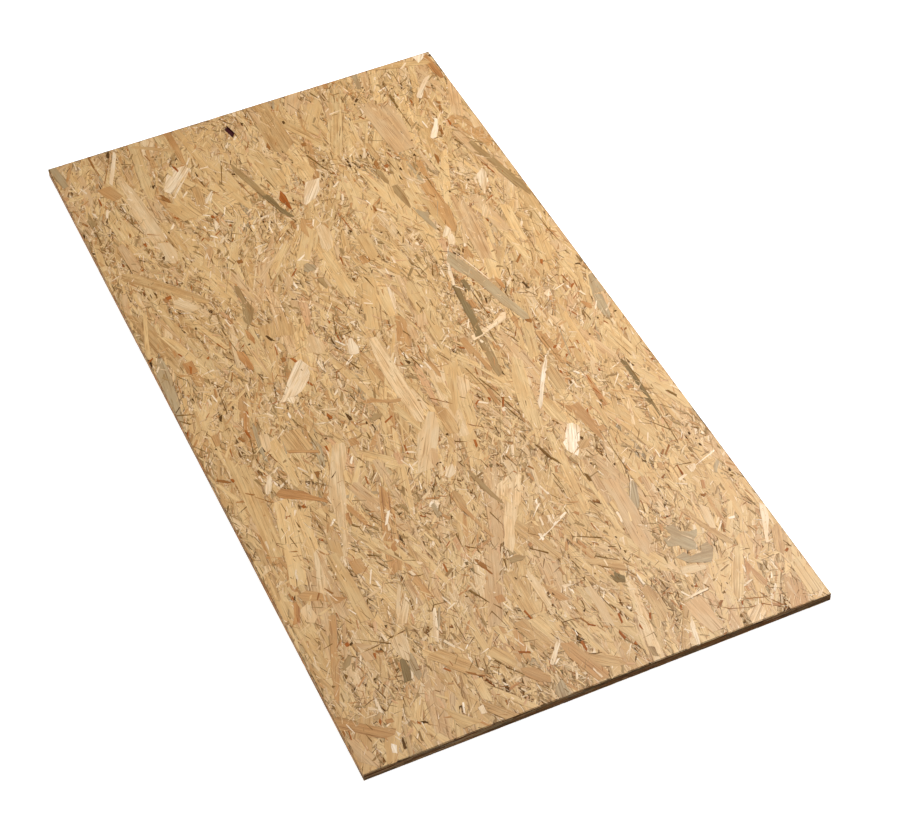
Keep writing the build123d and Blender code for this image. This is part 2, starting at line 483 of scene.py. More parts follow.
        (-255, -440, -250, -442, -258, -455, -266, -461, -268, -455, -262, -447),
        (-20, -385, -5, -385, 2, -392, -5, -396, -18, -394), (-10, -368, -6, -382, -16, -382, -14, -376),
        (70, -585, 78, -590, 76, -605, 70, -600),
    ),
    "grey": (
        (-303, 612, -294, 612, -289, 575, -289, 558, -297, 556, -302, 580),
        (176, 612, 187, 612, 182, 590, 177, 572, 172, 575, 176, 595),
        (-40, 241, -32, 232, -33, 222, -46, 222, -50, 228, -46, 238),
        (138, 285, 146, 270, 155, 262, 150, 250, 152, 225, 149, 222, 144, 240, 140, 262),
        (148, 171, 152, 160, 157, 142, 163, 120, 170, 95, 177, 65, 183, 35, 190, 5, 188, -5, 180, -3, 176,
         15, 168, 35, 163, 55, 160, 80, 152, 105, 142, 125, 137, 140, 135, 152, 140, 163),
        (-219, -20, -218, -32, -222, -55, -224, -72, -226, -95, -229, -92, -229, -72, -226, -50, -223, -30),
        (285, 0, 297, -5, 293, -30, 290, -45, 284, -55, 280, -40, 280, -20),
        (303, 40, 303, 0, 285, 0, 290, 20, 297, 38),
        (-192, -468, -186, -462, -184, -480, -186, -505, -193, -512, -196, -490),
        (165, -475, 178, -472, 182, -482, 198, -482, 200, -472, 212, -470, 213, -482, 208, -492, 200, -502,
         192, -498, 175, -490),
        (170, -338, 177, -335, 176, -350, 171, -365, 163, -380, 158, -385, 158, -368, 164, -350),
        (176, -425, 188, -425, 190, -440, 200, -445, 210, -445, 205, -455, 198, -460, 196, -475, 183, -472,
         178, -460, 165, -455, 166, -443, 177, -440),
        (290, -350, 286, -360, 278, -372, 275, -370, 280, -358),
        (-60, -540, -58, -545, -66, -552, -64, -545),
        (-50, -590, -42, -585, -40, -610, -55, -610, -58, -600),
    ),
    "slate": (
        (-37, 406, -33, 395, -30, 372, -22, 350, -20, 340, -27, 345, -34, 362, -38, 380, -45, 406),
        (121, 103, 128, 103, 128, 85, 125, 70, 128, 55, 124, 35, 121, 15, 120, -5, 108, -5, 112, 10, 115,
         35, 117, 60, 119, 85), (136, 110, 142, 108, 143, 90, 137, 82),
        (263, -130, 267, -140, 267, -165, 265, -202, 263, -225, 261, -250, 260, -260, 258, -250, 257, -225,
         259, -202, 260, -160, 260, -135),
        (-202, -474, -196, -472, -196, -485, -198, -500, -200, -508, -210, -508, -206, -490),
        (80, -466, 88, -463, 96, -474, 94, -480, 92, -484, 82, -478),
    ),
}
# Slivers and open seams, the shadow ones painted shade of the seams: the x and y of one end, those of the
# other, and the width, in millimetres.
TRACED_SLIVERS = {
    "shadow": (
        (-241, 465, -226, 408, 2), (-151, 518, -162, 508, 3), (47, 462, 64, 406, 3),
        (-87, 460, -70, 510, 2), (-26, 438, -22, 412, 2.5), (86, 605, 86, 590, 3), (66, 590, 75, 562, 1.5),
        (-40, 605, -33, 595, 2), (-10, 574, -10, 560, 2), (106, 597, 111, 583, 3), (117, 588, 118, 572, 3),
        (121, 588, 122, 562, 2.5), (212, 567, 212, 540, 2.5), (210, 538, 209, 505, 4),
        (209, 500, 209, 488, 3), (209, 480, 209, 455, 2.5), (235, 590, 234, 560, 2),
        (130, 420, 128, 406, 2), (115, 500, 107, 483, 2), (-268, 385, -267, 332, 2),
        (-157, 310, -160, 290, 2.5), (-27, 347, -22, 333, 3), (37, 220, 40, 205, 2),
        (148, 395, 150, 372, 2.5), (183, 335, 182, 312, 3), (254, 400, 259, 380, 2),
        (-192, 142, -190, 115, 2.5), (-180, 62, -178, 50, 2), (-269, 95, -270, 82, 2),
        (-239, 57, -243, 12, 2), (-303, 37, -285, 30, 2.5), (-304, 26, -294, 15, 3),
        (-193, 168, -193, 153, 2.5), (-242, 75, -234, 62, 2.5), (-49, 120, -56, 92, 2.5),
        (-66, 38, -56, 12, 3), (21, 175, 24, 152, 2.5), (26, 50, 30, 40, 3), (8, 20, 9, 10, 2.5),
        (9, 10, 8, 0, 2.5), (89, 175, 97, 155, 1.5), (97, 155, 99, 140, 1.5), (64, 95, 66, 75, 2),
        (10, 112, 10, 104, 2), (141, 80, 142, 15, 3), (134, 40, 137, 30, 2), (289, 200, 290, 150, 2),
        (290, 150, 293, 120, 2), (115, 157, 107, 138, 3), (205, 55, 217, 32, 2), (-232, -43, -237, -72, 2),
        (-220, -22, -221, -35, 2), (-225, -148, -205, -165, 2), (-184, -190, -180, -202, 2),
        (-303, -26, -294, -40, 2.5), (-280, -12, -277, -20, 2), (-161, -72, -160, -110, 1.5),
        (-238, -85, -236, -108, 1.5), (-166, -133, -162, -127, 2), (-119, -142, -116, -152, 3),
        (-140, -148, -131, -155, 2), (-112, -178, -119, -184, 2), (72, -55, 80, -100, 2),
        (80, -100, 84, -120, 2), (84, -120, 92, -155, 2), (92, -155, 98, -180, 2), (80, -80, 88, -110, 2),
        (88, -110, 94, -140, 2), (94, -140, 100, -165, 2), (15, -2, 19, -20, 3), (50, -10, 58, -28, 2.5),
        (5, -172, 16, -178, 2.5), (130, -2, 128, -30, 2.5), (150, -2, 157, -20, 2), (147, -15, 155, -38, 2),
        (187, -45, 190, -103, 1.5), (133, -195, 138, -205, 4), (266, -150, 265, -202, 2),
        (265, -202, 259, -300, 2), (260, -25, 261, -43, 2), (270, -85, 278, -130, 1.5),
        (299, -118, 303, -135, 2), (-142, -245, -133, -262, 2), (-232, -208, -231, -220, 2.5),
        (-248, -232, -246, -250, 2), (-266, -300, -270, -312, 1.5), (-256, -238, -253, -228, 2),
        (-172, -302, -163, -308, 3), (-163, -308, -160, -315, 3), (-134, -360, -126, -362, 3),
        (-184, -289, -180, -293, 3), (-169, -355, -163, -357, 2), (-268, -384, -265, -392, 2),
        (-240, -378, -232, -395, 2), (-216, -380, -210, -398, 3), (-170, -247, -165, -253, 4),
        (-40, -212, -56, -240, 2.5), (-84, -265, -75, -274, 2.5), (-24, -385, -27, -398, 3),
        (13, -383, 28, -398, 3), (67, -387, 98, -405, 2.5), (92, -280, 94, -315, 2),
        (88, -290, 90, -312, 2), (95, -225, 102, -255, 4), (103, -255, 110, -270, 4),
        (79, -340, 79, -352, 3), (-60, -320, -62, -350, 3), (-56, -345, -47, -352, 2.5),
        (-47, -352, -46, -362, 2), (-7, -305, -2, -330, 2), (52, -225, 56, -245, 2.5),
        (20, -215, 23, -232, 2), (31, -256, 39, -256, 2), (148, -262, 151, -273, 2.5),
        (179, -206, 179, -315, 2), (290, -212, 296, -225, 4), (238, -243, 260, -277, 2.5),
        (224, -261, 215, -274, 2), (222, -332, 225, -342, 2), (127, -280, 126, -300, 2),
        (238, -337, 256, -341, 2.5), (213, -362, 213, -372, 2), (-236, -421, -202, -445, 2),
        (-243, -444, -215, -441, 2), (-200, -437, -178, -434, 2), (-197, -432, -196, -451, 1.5),
        (-190, -470, -190, -495, 1.5), (-190, -497, -184, -497, 2), (-182, -440, -187, -465, 1.5),
        (-136, -420, -131, -413, 2), (-131, -413, -115, -415, 2), (-279, -558, -270, -567, 2),
        (-280, -560, -278, -570, 2.5), (-244, -500, -239, -518, 2), (-254, -487, -251, -495, 2),
        (-205, -497, -218, -494, 2), (-126, -516, -134, -524, 2), (-119, -440, -119, -480, 1.5),
        (-113, -525, -115, -535, 2), (-82, -412, -70, -438, 3), (-65, -445, -60, -454, 3),
        (-72, -455, -66, -480, 3), (20, -458, 17, -464, 2), (33, -460, 50, -458, 1.5),
        (32, -487, 31, -497, 2), (-2, -507, 8, -508, 2), (8, -508, 14, -514, 2), (-4, -505, -4, -512, 3),
        (20, -490, 20, -500, 1.5), (80, -430, 100, -447, 2.5), (78, -448, 103, -468, 2.5),
        (-100, -525, -91, -540, 2.5), (-92, -540, -78, -560, 2), (-63, -583, -59, -592, 1.5),
        (36, -520, 36, -535, 1.5), (56, -493, 60, -520, 2), (50, -425, 52, -438, 3),
        (55, -422, 59, -433, 1.5), (142, -543, 177, -539, 1.5), (222, -440, 240, -480, 1.5),
        (217, -455, 219, -468, 2), (296, -510, 299, -520, 2), (149, -488, 158, -497, 1.5),
        (178, -535, 175, -528, 2.5), (152, -500, 147, -504, 1.5), (139, -533, 142, -525, 1.5),
        (270, -470, 273, -480, 2), (121, -470, 120, -540, 1),
    ),
    "umber": (
        (-210, 605, -240, 540, 2.5), (-243, 612, -242, 560, 3.5), (-63, 445, -58, 415, 3),
        (-62, 302, -48, 315, 2.5), (90, 312, 89, 300, 4), (171, 300, 175, 290, 3), (-91, 3, -85, 18, 2.5),
        (-85, 18, -75, 22, 2.5), (-262, -148, -247, -165, 2.5), (-278, -130, -264, -142, 3),
        (-221, -80, -212, -115, 2), (248, 435, 243, 415, 4), (205, -570, 233, -580, 3),
        (233, -580, 245, -600, 3), (-240, -330, -235, -340, 3), (-200, -338, -178, -318, 2),
        (-137, -527, -122, -540, 4), (33, -152, 58, -173, 2), (8, -85, 28, -106, 2),
        (165, -558, 185, -577, 2), (185, -577, 205, -585, 2), (205, -585, 225, -588, 2),
        (225, -588, 240, -600, 2), (-296, -98, -284, -108, 5),
    ),
    "grey": (
        (48, 605, 43, 590, 4), (175, 277, 163, 250, 3), (-196, -72, -199, -92, 3), (215, -45, 205, -100, 3),
        (-242, 559, -242, 545, 4), (-127, -420, -142, -450, 3.5), (-66, -262, -66, -280, 8),
        (-190, -185, -188, -202, 5),
    ),
    "pale": (
        (-205, 600, -232, 535, 7), (-118, 515, -160, 462, 4), (-247, 548, -247, 542, 2),
        (-119, 60, -112, 38, 3), (-40, 148, -58, 125, 2), (62, 5, 80, 20, 3), (152, 172, 172, 95, 3),
        (-188, -52, -200, -62, 3), (246, -156, 232, -173, 2.5), (185, -144, 172, -152, 2),
        (54, -574, 41, -594, 2.5), (143, -540, 176, -537, 4), (-134, -420, -150, -465, 7),
    ),
    "bone": (
        (288, -8, 276, -27, 2.5), (-121, -246, -132, -265, 4), (-178, -327, -187, -346, 3),
        (53, -320, 36, -338, 3), (76, -348, 30, -374, 4), (176, -332, 157, -368, 2),
        (260, -348, 292, -336, 3), (243, -448, 233, -459, 3),
    ),
    "rust": (
        (-232, -30, -232, -43, 4), (39, 318, 41, 298, 3), (41, 295, 43, 275, 2), (6, 230, 4, 215, 3),
        (136, 379, 133, 377, 2), (266, 340, 274, 300, 2.5), (32, 15, 30, 0, 3), (47, 60, 46, 50, 2),
        (265, 55, 268, 30, 2.5), (-57, 92, -58, 70, 3), (-209, 143, -203, 127, 2),
        (-180, 122, -172, 130, 2), (206, -165, 210, -182, 2), (208, -140, 208, -155, 3),
        (-127, -128, -124, -122, 3), (-286, -350, -289, -365, 2),
    ),
    "orange": (
        (-222, 0, -232, -30, 6), (220, -492, 240, -490, 2),
    ),
    "honey": (
        (-175, 600, -125, 565, 8),
    ),
}
# Pits (painted shade of hollows), knots and flecks: the x and y of the middle, the length, the width, and the
# lean in degrees.
TRACED_FLECKS = {
    "bark": (
        (-263, 458, 10, 3, 20), (-216, 600, 14, 5, 15), (-178, 500, 6, 5, 0), (-113, 497, 8, 2.5, 0),
        (-127, 545, 8, 2, 0), (-249, 535, 10, 3, 0), (-50, 462, 6, 2.5, 0), (44, 551, 9, 4, 0),
        (64, 440, 5, 3, 0), (22, 457, 4, 3, 0), (18, 487, 6, 2, 0), (50, 411, 8, 3, 0), (94, 410, 8, 4, 0),
        (98, 578, 8, 3, 0), (-12, 577, 6, 5, 0), (117, 424, 7, 3, 0), (158, 418, 7, 3, 0),
        (135, 512, 7, 3, 0), (197, 424, 5, 4, 0), (-217, 343, 10, 4, 20), (-235, 226, 9, 3, -20),
        (-195, 208, 8, 5, 0), (-250, 317, 8, 3, 0), (-302, 398, 5, 5, 0), (-230, 292, 5, 3, 0),
        (-259, 274, 8, 2, 0), (-192, 392, 5, 3, 0), (-120, 335, 10, 2, -20), (-8, 377, 6, 3, 0),
        (-53, 347, 7, 3, 0), (-85, 345, 12, 3, 0), (99, 242, 4, 4, 0), (234, 302, 6, 3, 0),
        (187, 390, 5, 4, 0), (149, 352, 10, 3, 0), (200, 290, 5, 3, 0), (181, 240, 12, 3, 0),
        (-142, 121, 16, 4, -20), (-275, 55, 7, 3, 0), (-254, 6, 12, 4, 20), (-210, 30, 8, 3, 0),
        (-225, 185, 6, 3, 0), (-171, 122, 4, 4, 0), (-83, 179, 3, 7, 0), (-82, 135, 8, 3, 0),
        (34, 182, 7, 3, 25), (133, 62, 4, 2, 0), (212, 60, 16, 4, -8), (295, 66, 5, 7, 0),
        (-279, -44, 3, 3, 0), (-249, -43, 7, 3, 0), (-144, -91, 4, 4, 0), (-129, -44, 5, 3, 0),
        (-102, -68, 14, 5, 0), (-113, -83, 4, 3, 0), (8, -7, 9, 5, -15), (19, -142, 8, 2.5, 0),
        (-30, -197, 3, 8, 0), (-86, -88, 5, 4, 0), (-80, -99, 10, 3, 0), (0, -155, 5, 4, 0),
        (88, -202, 8, 3, 0), (298, -44, 4, 4, 0), (247, -69, 4, 3, 0), (271, -45, 4, 3, 0),
        (112, -85, 8, 3, 0), (-109, -256, 4, 5, 0), (-216, -295, 4, 3, 0), (-279, -327, 7, 3, 20),
        (-184, -377, 3, 4, 0), (-53, -290, 4, 3, 0), (152.5, -240, 8, 4.5, 0), (169, -300, 4, 3, 0),
        (143, -285, 3, 3, 0), (279, -294, 6, 3, 0), (272, -298, 7, 2, 0), (282, -306, 4, 3, 0),
        (282, -318, 6, 3, 0), (294, -375, 5, 3, 0), (-196, -418, 4, 3, 0), (-244, -425, 5, 4, 0),
        (-239, -487, 3, 4, 0), (-212, -572, 7, 5, -30), (-158, -531, 2, 4, 0), (-24, -419, 4, 2.5, 0),
        (-67, -542, 7, 2.5, 0), (-3, -488, 7, 2, 20), (6, -464, 8, 3, -15), (28, -502, 3.5, 3.5, 0),
        (78, -527, 3, 3, 0), (97, -427, 6, 3, -15), (-84, -567, 7, 3, 15), (-28, -588, 2, 5, 0),
        (107, -555, 8, 3, 30), (130, -516, 4, 10, 0), (115, -413, 4, 2, 0), (187, -410, 4, 3, 0),
        (140, -507, 3, 3, 0), (233, -578, 2, 4, 0),
    ),
    "shadow": (
        (-235, 472, 15, 2.5, 0), (-230, 446, 18, 2, 0), (-228, 471, 13, 2, 0), (-160, 469, 12, 2, 0),
        (-286, 425, 30, 2.5, 0), (26, 415, 5, 2, 0), (-254, 302, 6, 2, 0), (-211, 281, 4, 3, 0),
        (-252, 273, 8, 3, 0), (-293, 370, 12, 3, 0), (-192, 325, 16, 2, 0), (-196, 366, 8, 2.5, 0),
        (-143, 362, 12, 2, 0), (28, 350, 12, 2, 0), (34, 225, 6, 2, 0), (210, 340, 14, 2, -10),
        (-254, 45, 6, 2.5, 0), (-177, 195, 12, 3, 15), (-171, 182, 12, 2.5, 0), (-163, 6, 12, 2, 0),
        (177, 170, 10, 3, -10), (-241, -149, 5, 3, 0), (-301, -150, 10, 3, 25), (-219, -189, 10, 3, 0),
        (-122, -159, 3, 5, 0), (31, -80, 10, 2, 0), (-44, -150, 14, 2.5, 0), (-92, -110, 12, 3, 0),
        (152, -128, 8, 2, 0), (205, -190, 6, 3, 0), (257, -30, 14, 1.5, 0), (276, -195, 6, 2.5, 0),
        (118, -75, 8, 2, 0), (-234, -227, 4, 3, 0), (-226, -245, 6, 2, 0), (-201, -372, 9, 3, 20),
        (-181, -304, 5, 2, 0), (-245, -290, 6, 3, 0), (-271, -294, 4, 2.5, 0), (-15, -306, 7, 2.5, 0),
        (-36, -339, 3, 2, 0), (90, -313, 3, 4, 0), (201, -267, 3, 2, 0), (205, -312, 4, 6, 0),
        (292, -384, 4, 3, 0), (155, -405, 6, 2, 0), (-287, -476, 4, 5, 0), (-268, -468, 7, 4, 0),
        (-181, -468, 8, 3, 0), (-210, -485, 3, 5, 0), (-90, -418, 3, 3, 0), (-57, -464, 2.5, 3, 0),
        (-32, -444, 7, 2.5, 0), (-9, -431, 3, 2, 0), (-11, -486, 7, 3, 0), (51, -455, 3, 3, 0),
        (65, -455, 3, 3, 0), (87, -573, 9, 1.5, 0), (3, -539, 5, 3, 0), (115, -439, 4, 3, 0),
        (201, -540, 4, 2, 0), (191, -551, 5, 5, 0), (273, -550, 3, 4, 0), (260, -421, 3, 2, 0),
        (192, -593, 6, 4, 0), (191, -602, 3, 5, 0), (162, -525, 4, 3, 0), (144, -427, 5, 2, 0),
        (-152, -13, 3, 5, 0), (-144, -6, 5, 5, 0), (129, -306, 16, 5, 0),
    ),
    "umber": (
        (-56, -345, 5, 6, 0), (119, -347, 4, 10, 0), (-126, -453, 3, 5, 0), (125, -522, 6, 6, 0),
        (245, -398, 8, 8, 0), (167, -85, 6, 4, 0), (-177, -145, 12, 6, 0),
    ),
    "slate": (
        (-68, -370, 6, 4, 0), (-67, -384, 12, 5, 0), (28, -232, 8, 6, 0), (-63, -550, 3, 6, 0),
        (-36, -574, 5, 4, 0),
    ),
    "rust": (
        (-124, 396, 8, 5, 0), (-231, 382, 9, 4, 0), (-202, 268, 14, 3, 10), (-273, 356, 7, 3, 0),
        (-252, 335, 10, 4, 0), (-82, 357, 8, 2, 0), (-213, -190, 8, 6, 0), (-238, -197, 4, 8, 0),
        (-177, -196, 5, 4, 0), (-203, -55, 2, 2, 0), (76, -120, 8, 4, 0), (218, -70, 8, 2, 0),
        (226, -75, 8, 3, 0), (221, -90, 10, 2, 0), (228, -136, 6, 3, 0), (256, -164, 4, 4, 0),
        (290, -80, 8, 3, 0), (300, -150, 4, 3, 0), (-282, -327, 5, 4, 0), (-85, -273, 5, 8, 0),
        (147, -246, 6, 4, 0), (-249, -424, 8, 6, 0), (-218, -570, 5, 4, 0), (-258, -549, 8, 4, 0),
        (60, -575, 6, 4, 0), (77, -555, 8, 3, 0), (8, -595, 10, 3, 0), (108, -533, 4, 3, 0),
        (292, -525, 6, 6, 0),
    ),
    "pale": (
        (70, 268, 10, 3, 30), (88, 268, 12, 3, 20), (58, 350, 16, 4, 15),
    ),
    "bone": (
        (-80, 348, 10, 4, 0), (85, 110, 10, 2.5, 20), (262, 30, 8, 4, 0), (21, -23, 6, 4, 0),
        (84, -147, 8, 5, 0), (79, -522, 5, 5, 0),
    ),
}

# Where the photographed face is busy with small slivers, and where it lies calm: x and y, in millimetres.
BUSY_PATCHES = (
    (-30, 570), (-230, 600), (100, 600), (190, 545), (210, 520), (-240, 455), (-295, 430), (75, 410),
    (130, 400), (-260, 340), (-130, 390), (-30, 385), (-80, 345), (-205, 275), (45, 300), (240, 280),
    (-180, 205), (-170, 160), (35, 200), (-100, 170), (-50, 110), (115, 150), (130, 65), (210, 60),
    (-240, 50), (-165, 10), (-60, 25), (15, -10), (110, -20), (150, 20), (-240, -80), (-90, -60),
    (-235, -140), (90, -140), (95, -190), (190, -140), (260, -175), (150, -240), (265, -290), (-50, -240),
    (30, -230), (-110, -265), (-180, -230), (-190, -330), (-60, -375), (40, -320), (75, -380), (185, -410),
    (-250, -520), (-200, -480), (130, -515), (20, -490), (-90, -560), (-30, -580), (200, -590), (230, -530),
)
CALM_PATCHES = (
    (-280, 580), (85, 540), (165, 465), (170, 330), (-200, 460), (-10, 270), (60, 165), (220, 150),
    (-125, 130), (-25, -50), (-30, -90), (45, -65), (130, -80), (250, -90), (210, -230), (-140, -180),
    (150, -350), (110, 345), (30, 70), (-280, 200),
)

STREAKED = ("honey", "orange", "rust", "pink")  # tones whose traced strands are streaked all over

# How often each tone turns up among the scattered strands
FACE_MIX = {"straw": 44, "wheat": 27, "honey": 4, "tan": 3, "cream": 8, "peach": 12, "grey": 1, "pink": 1}
SMALL_MIX = {
    "straw": 24, "wheat": 22, "tan": 14, "cream": 16, "pale": 7, "hazel": 6, "peach": 6, "orange": 3,
    "bark": 2,
}
SLIVER_MIX = {
    "straw": 16, "wheat": 16, "tan": 12, "cream": 18, "pale": 12, "hazel": 12, "umber": 2, "shadow": 9,
    "bone": 2, "orange": 2,
}
CHIP_MIX = {
    "cream": 20, "pale": 10, "straw": 20, "bone": 2, "peach": 12, "tan": 8, "hazel": 8, "umber": 1,
    "olive": 6, "orange": 4, "rust": 2, "pink": 5,
}
# Among the finest slivers, the pale and bone ones stand partly for painted highlights on lifted fibres, and
# the shadow, hazel and bark ones for painted shade beside them
DUST_MIX = {
    "cream": 26, "pale": 12, "bone": 2, "straw": 14, "tan": 8, "hazel": 16, "umber": 2, "olive": 2,
    "shadow": 14, "bark": 4, "rust": 1, "orange": 1,
}
SAWN_MIX = {"umber": 34, "tan": 20, "bark": 10, "olive": 10, "slate": 14, "wheat": 6, "grey": 6}


class Side:
    """One flat side of the sheet: its middle, the ways it runs and rises, and how far it reaches."""

    def __init__(self, middle, run, rise, half_run, half_rise):
        self.middle = np.array(middle)
        self.run = np.array(run)
        self.rise = np.array(rise)
        self.out = np.cross(self.run, self.rise)
        self.half_run = half_run
        self.half_rise = half_rise

    def place(self, flat, lift):
        """Points of the side, given by how far they lie along its run and rise and stand proud."""
        return self.middle + flat[:, :1] * self.run + flat[:, 1:2] * self.rise + lift[:, None] * self.out


RIGHT, FAR, UP = (1, 0, 0), (0, 1, 0), (0, 0, 1)
LEFT, NEAR = (-1, 0, 0), (0, -1, 0)
MID_HEIGHT = THICKNESS / 2
UPPER = Side((0, 0, THICKNESS), RIGHT, FAR, HALF_WIDTH, HALF_LENGTH)
UNDER = Side((0, 0, 0), LEFT, FAR, HALF_WIDTH, HALF_LENGTH)
NEAR_EDGE = Side((0, -HALF_LENGTH, MID_HEIGHT), RIGHT, UP, HALF_WIDTH, MID_HEIGHT)
FAR_EDGE = Side((0, HALF_LENGTH, MID_HEIGHT), LEFT, UP, HALF_WIDTH, MID_HEIGHT)
LEFT_EDGE = Side((-HALF_WIDTH, 0, MID_HEIGHT), NEAR, UP, HALF_LENGTH, MID_HEIGHT)
RIGHT_EDGE = Side((HALF_WIDTH, 0, MID_HEIGHT), FAR, UP, HALF_LENGTH, MID_HEIGHT)


class Drift:
    """A smooth seeded wander over a side, about -1 to 1, made of a few long waves."""

    def __init__(self, wavelength, chance, waves=7):
        heading = chance.uniform(0, 2 * math.pi, waves)
        turns = 2 * math.pi / (wavelength * chance.uniform(0.7, 1.6, waves))
        self.pull = np.column_stack((np.cos(heading), np.sin(heading))) * turns[:, None]
        self.start = chance.uniform(0, 2 * math.pi, waves)
        self.share = 1 / math.sqrt(waves / 2)

    def at(self, x, y):
        return float(np.cos(self.pull @ (x, y) + self.start).sum() * self.share)


class Patches:
    """How crowded a face is: more near its busy patches, and less near its calm ones."""

    BUSY_PULL, CALM_PULL, ELSEWHERE = 2, 1.4, -0.4
    LEAST, MOST = -1.1, 1.3

    def __init__(self, busy, calm, reach):
        self.busy = np.array(busy) * MM
        self.calm = np.array(calm) * MM
        self.reach = reach

    def share(self, patches, x, y):
        return float(np.exp(-((patches - (x, y)) ** 2).sum(1) / (2 * self.reach ** 2)).sum())

    def at(self, x, y):
        pull = self.BUSY_PULL * self.share(self.busy, x, y) - self.CALM_PULL * self.share(self.calm, x, y)
        return min(self.MOST, max(self.LEAST, pull + self.ELSEWHERE))


class Kind:
    """A kind of scattered strand: how far apart, how large, how high, how it leans and what colour."""

    def __init__(self, apart, lengths, widths, levels, mix, spread=18, astray=0.05, end_steps=1, ragged=0.5,
                 heading=4, wander=9, bright=1.0, crowd=0.0, band=(0, 1)):
        self.apart = apart
        self.lengths = lengths
        self.widths = widths
        self.levels = levels
        self.names = list(mix)
        self.shares = np.array(list(mix.values())) / sum(mix.values())
        self.spread = spread
        self.astray = astray
        self.end_steps = end_steps
        self.ragged = ragged
        self.heading = heading
        self.wander = wander
        self.bright = bright
        self.crowd = crowd
        self.band = band


SPLINTER = -1  # the count of end steps that makes a strand a plain splinter

# From the lowest up. Levels are shares of the relief, and leans are in degrees from the sheet's length.
# The bed's strands are darkened as painted shade, since they show only between the strands above.
BED = Kind(
    apart=(0.017, 0.036), lengths=(0.06, 0.14), widths=(0.012, 0.026), levels=(0.0, 0.2), mix=FACE_MIX,
    spread=14, astray=0.02, bright=0.8,
)
UNDERLAY = Kind(
    apart=(0.0085, 0.0125), lengths=(0.012, 0.04), widths=(0.0018, 0.006), levels=(0.2, 0.6), mix=SMALL_MIX,
    spread=24, astray=0.1, end_steps=0,
)
FINES = Kind(
    apart=(0.0056, 0.0078), lengths=(0.005, 0.02), widths=(0.0007, 0.002), levels=(0.4, 0.8), mix=SLIVER_MIX,
    spread=28, astray=0.14, end_steps=SPLINTER, ragged=0,
)
MIDDLING = Kind(
    apart=(0.017, 0.032), lengths=(0.04, 0.1), widths=(0.004, 0.012), levels=(0.5, 0.85), mix=FACE_MIX,
    spread=15, astray=0.04, crowd=-0.5,
)
BROAD = Kind(
    apart=(0.031, 0.062), lengths=(0.08, 0.17), widths=(0.009, 0.026), levels=(0.55, 0.9), mix=FACE_MIX,
    spread=12, astray=0.02, end_steps=2, crowd=-0.7,
)
CHIPS = Kind(
    apart=(0.0085, 0.0125), lengths=(0.006, 0.02), widths=(0.0014, 0.005), levels=(0.8, 0.98), mix=CHIP_MIX,
    spread=28, astray=0.18, end_steps=0, crowd=0.6,
)
DUST = Kind(
    apart=(0.0066, 0.0086), lengths=(0.004, 0.017), widths=(0.0006, 0.0019), levels=(0.82, 1.0), mix=DUST_MIX,
    spread=30, astray=0.18, end_steps=SPLINTER, ragged=0, crowd=0.6,
)
BACK_CHIPS = Kind(
    apart=(0.012, 0.018), lengths=(0.012, 0.045), widths=(0.0018, 0.007), levels=(0.3, 0.7), mix=SMALL_MIX,
    spread=24, astray=0.1, end_steps=0,
)
FACE_KINDS = (BED, UNDERLAY, FINES, MIDDLING, BROAD, CHIPS, DUST)
BACK_KINDS = (BED, MIDDLING, BROAD, BACK_CHIPS)


def sawn_kinds(skin, core, bright):
    """The layers of a sawn side: strands of the faces' lay outside, of the core's lay inside."""
    shared = {"mix": SAWN_MIX, "spread": 1.5, "astray": 0, "ragged": 1, "heading": UPRIGHT, "wander": 1.2}
    # Each layer's wood is darker than its tones, partly as sawn end grain is and partly as painted shade.
    return (
        Kind(
            apart=(0.014, 0.0009), lengths=(0.03, 0.06), widths=(0.0012, 0.002), levels=(0.0, 0.3),
            bright=0.4 * bright, **shared,
        ),
        Kind(
            apart=(1.2 * core[1], 0.001), lengths=core, widths=(0.0005, 0.0012), levels=(0.5, 1.0),
            bright=0.75 * bright, band=(0, 0.6), **shared,
        ),
        Kind(
            apart=(0.8 * skin[1], 0.0008), lengths=skin, widths=(0.0004, 0.001), levels=(0.4, 0.9),
            bright=0.42 * bright, band=(0.5, 1), **shared,
        ),
    )


class Strand:
    """One strand on a side. Its outline rows are run, rise, across the grain and along the grain."""

    def __init__(self, middle, size, lean, level, colour, outline, chance):
        turn = math.radians(lean)
        across, along = outline.T
        self.middle = np.array(middle)
        self.half_size = (size[1] / 2, size[0] / 2)
        self.level = level
        self.colour = colour
        self.seed = chance.uniform(0, GRAIN_SHIFT)
        self.tilt = chance.normal(0, TILT / np.array((size[1], size[0]))) @ np.array((
            (math.cos(turn), -math.sin(turn)), (math.sin(turn), math.cos(turn)),
        ))
        self.contrast = chance.uniform(0.3, 1)
        self.trim = chance.uniform(0, MOST_TRIM)
        self.outline = np.column_stack((
            middle[0] + across * math.cos(turn) + along * math.sin(turn),
            middle[1] - across * math.sin(turn) + along * math.cos(turn),
            outline,
        ))


def strand_outline(length, width, end_steps, ragged, chance):
    """Corners about a strand's middle, anticlockwise, as across and along. Its ends are broken."""
    if end_steps == SPLINTER:
        return splinter_outline(length, width, chance)
    over = np.linspace(0.5, -0.5, end_steps + 2)
    rows = []
    for way in (1, -1):
        taper = chance.uniform(0.5, 1)
        slant = chance.normal(0, 0.7)
        end = length / 2 - width * (ragged * chance.random(over.size) + slant * over)
        rows += [(way * x, way * y) for x, y in zip(over * width * taper, end)]
        if end_steps:
            rows += [(-way * x, way * y) for x, y in side_steps(length, width, end_steps, chance)]
    corners = np.array(rows)
    bow = chance.normal(0, 0.012) * length
    corners[:, 0] += bow * (1 - (2 * corners[:, 1] / length) ** 2)
    return corners


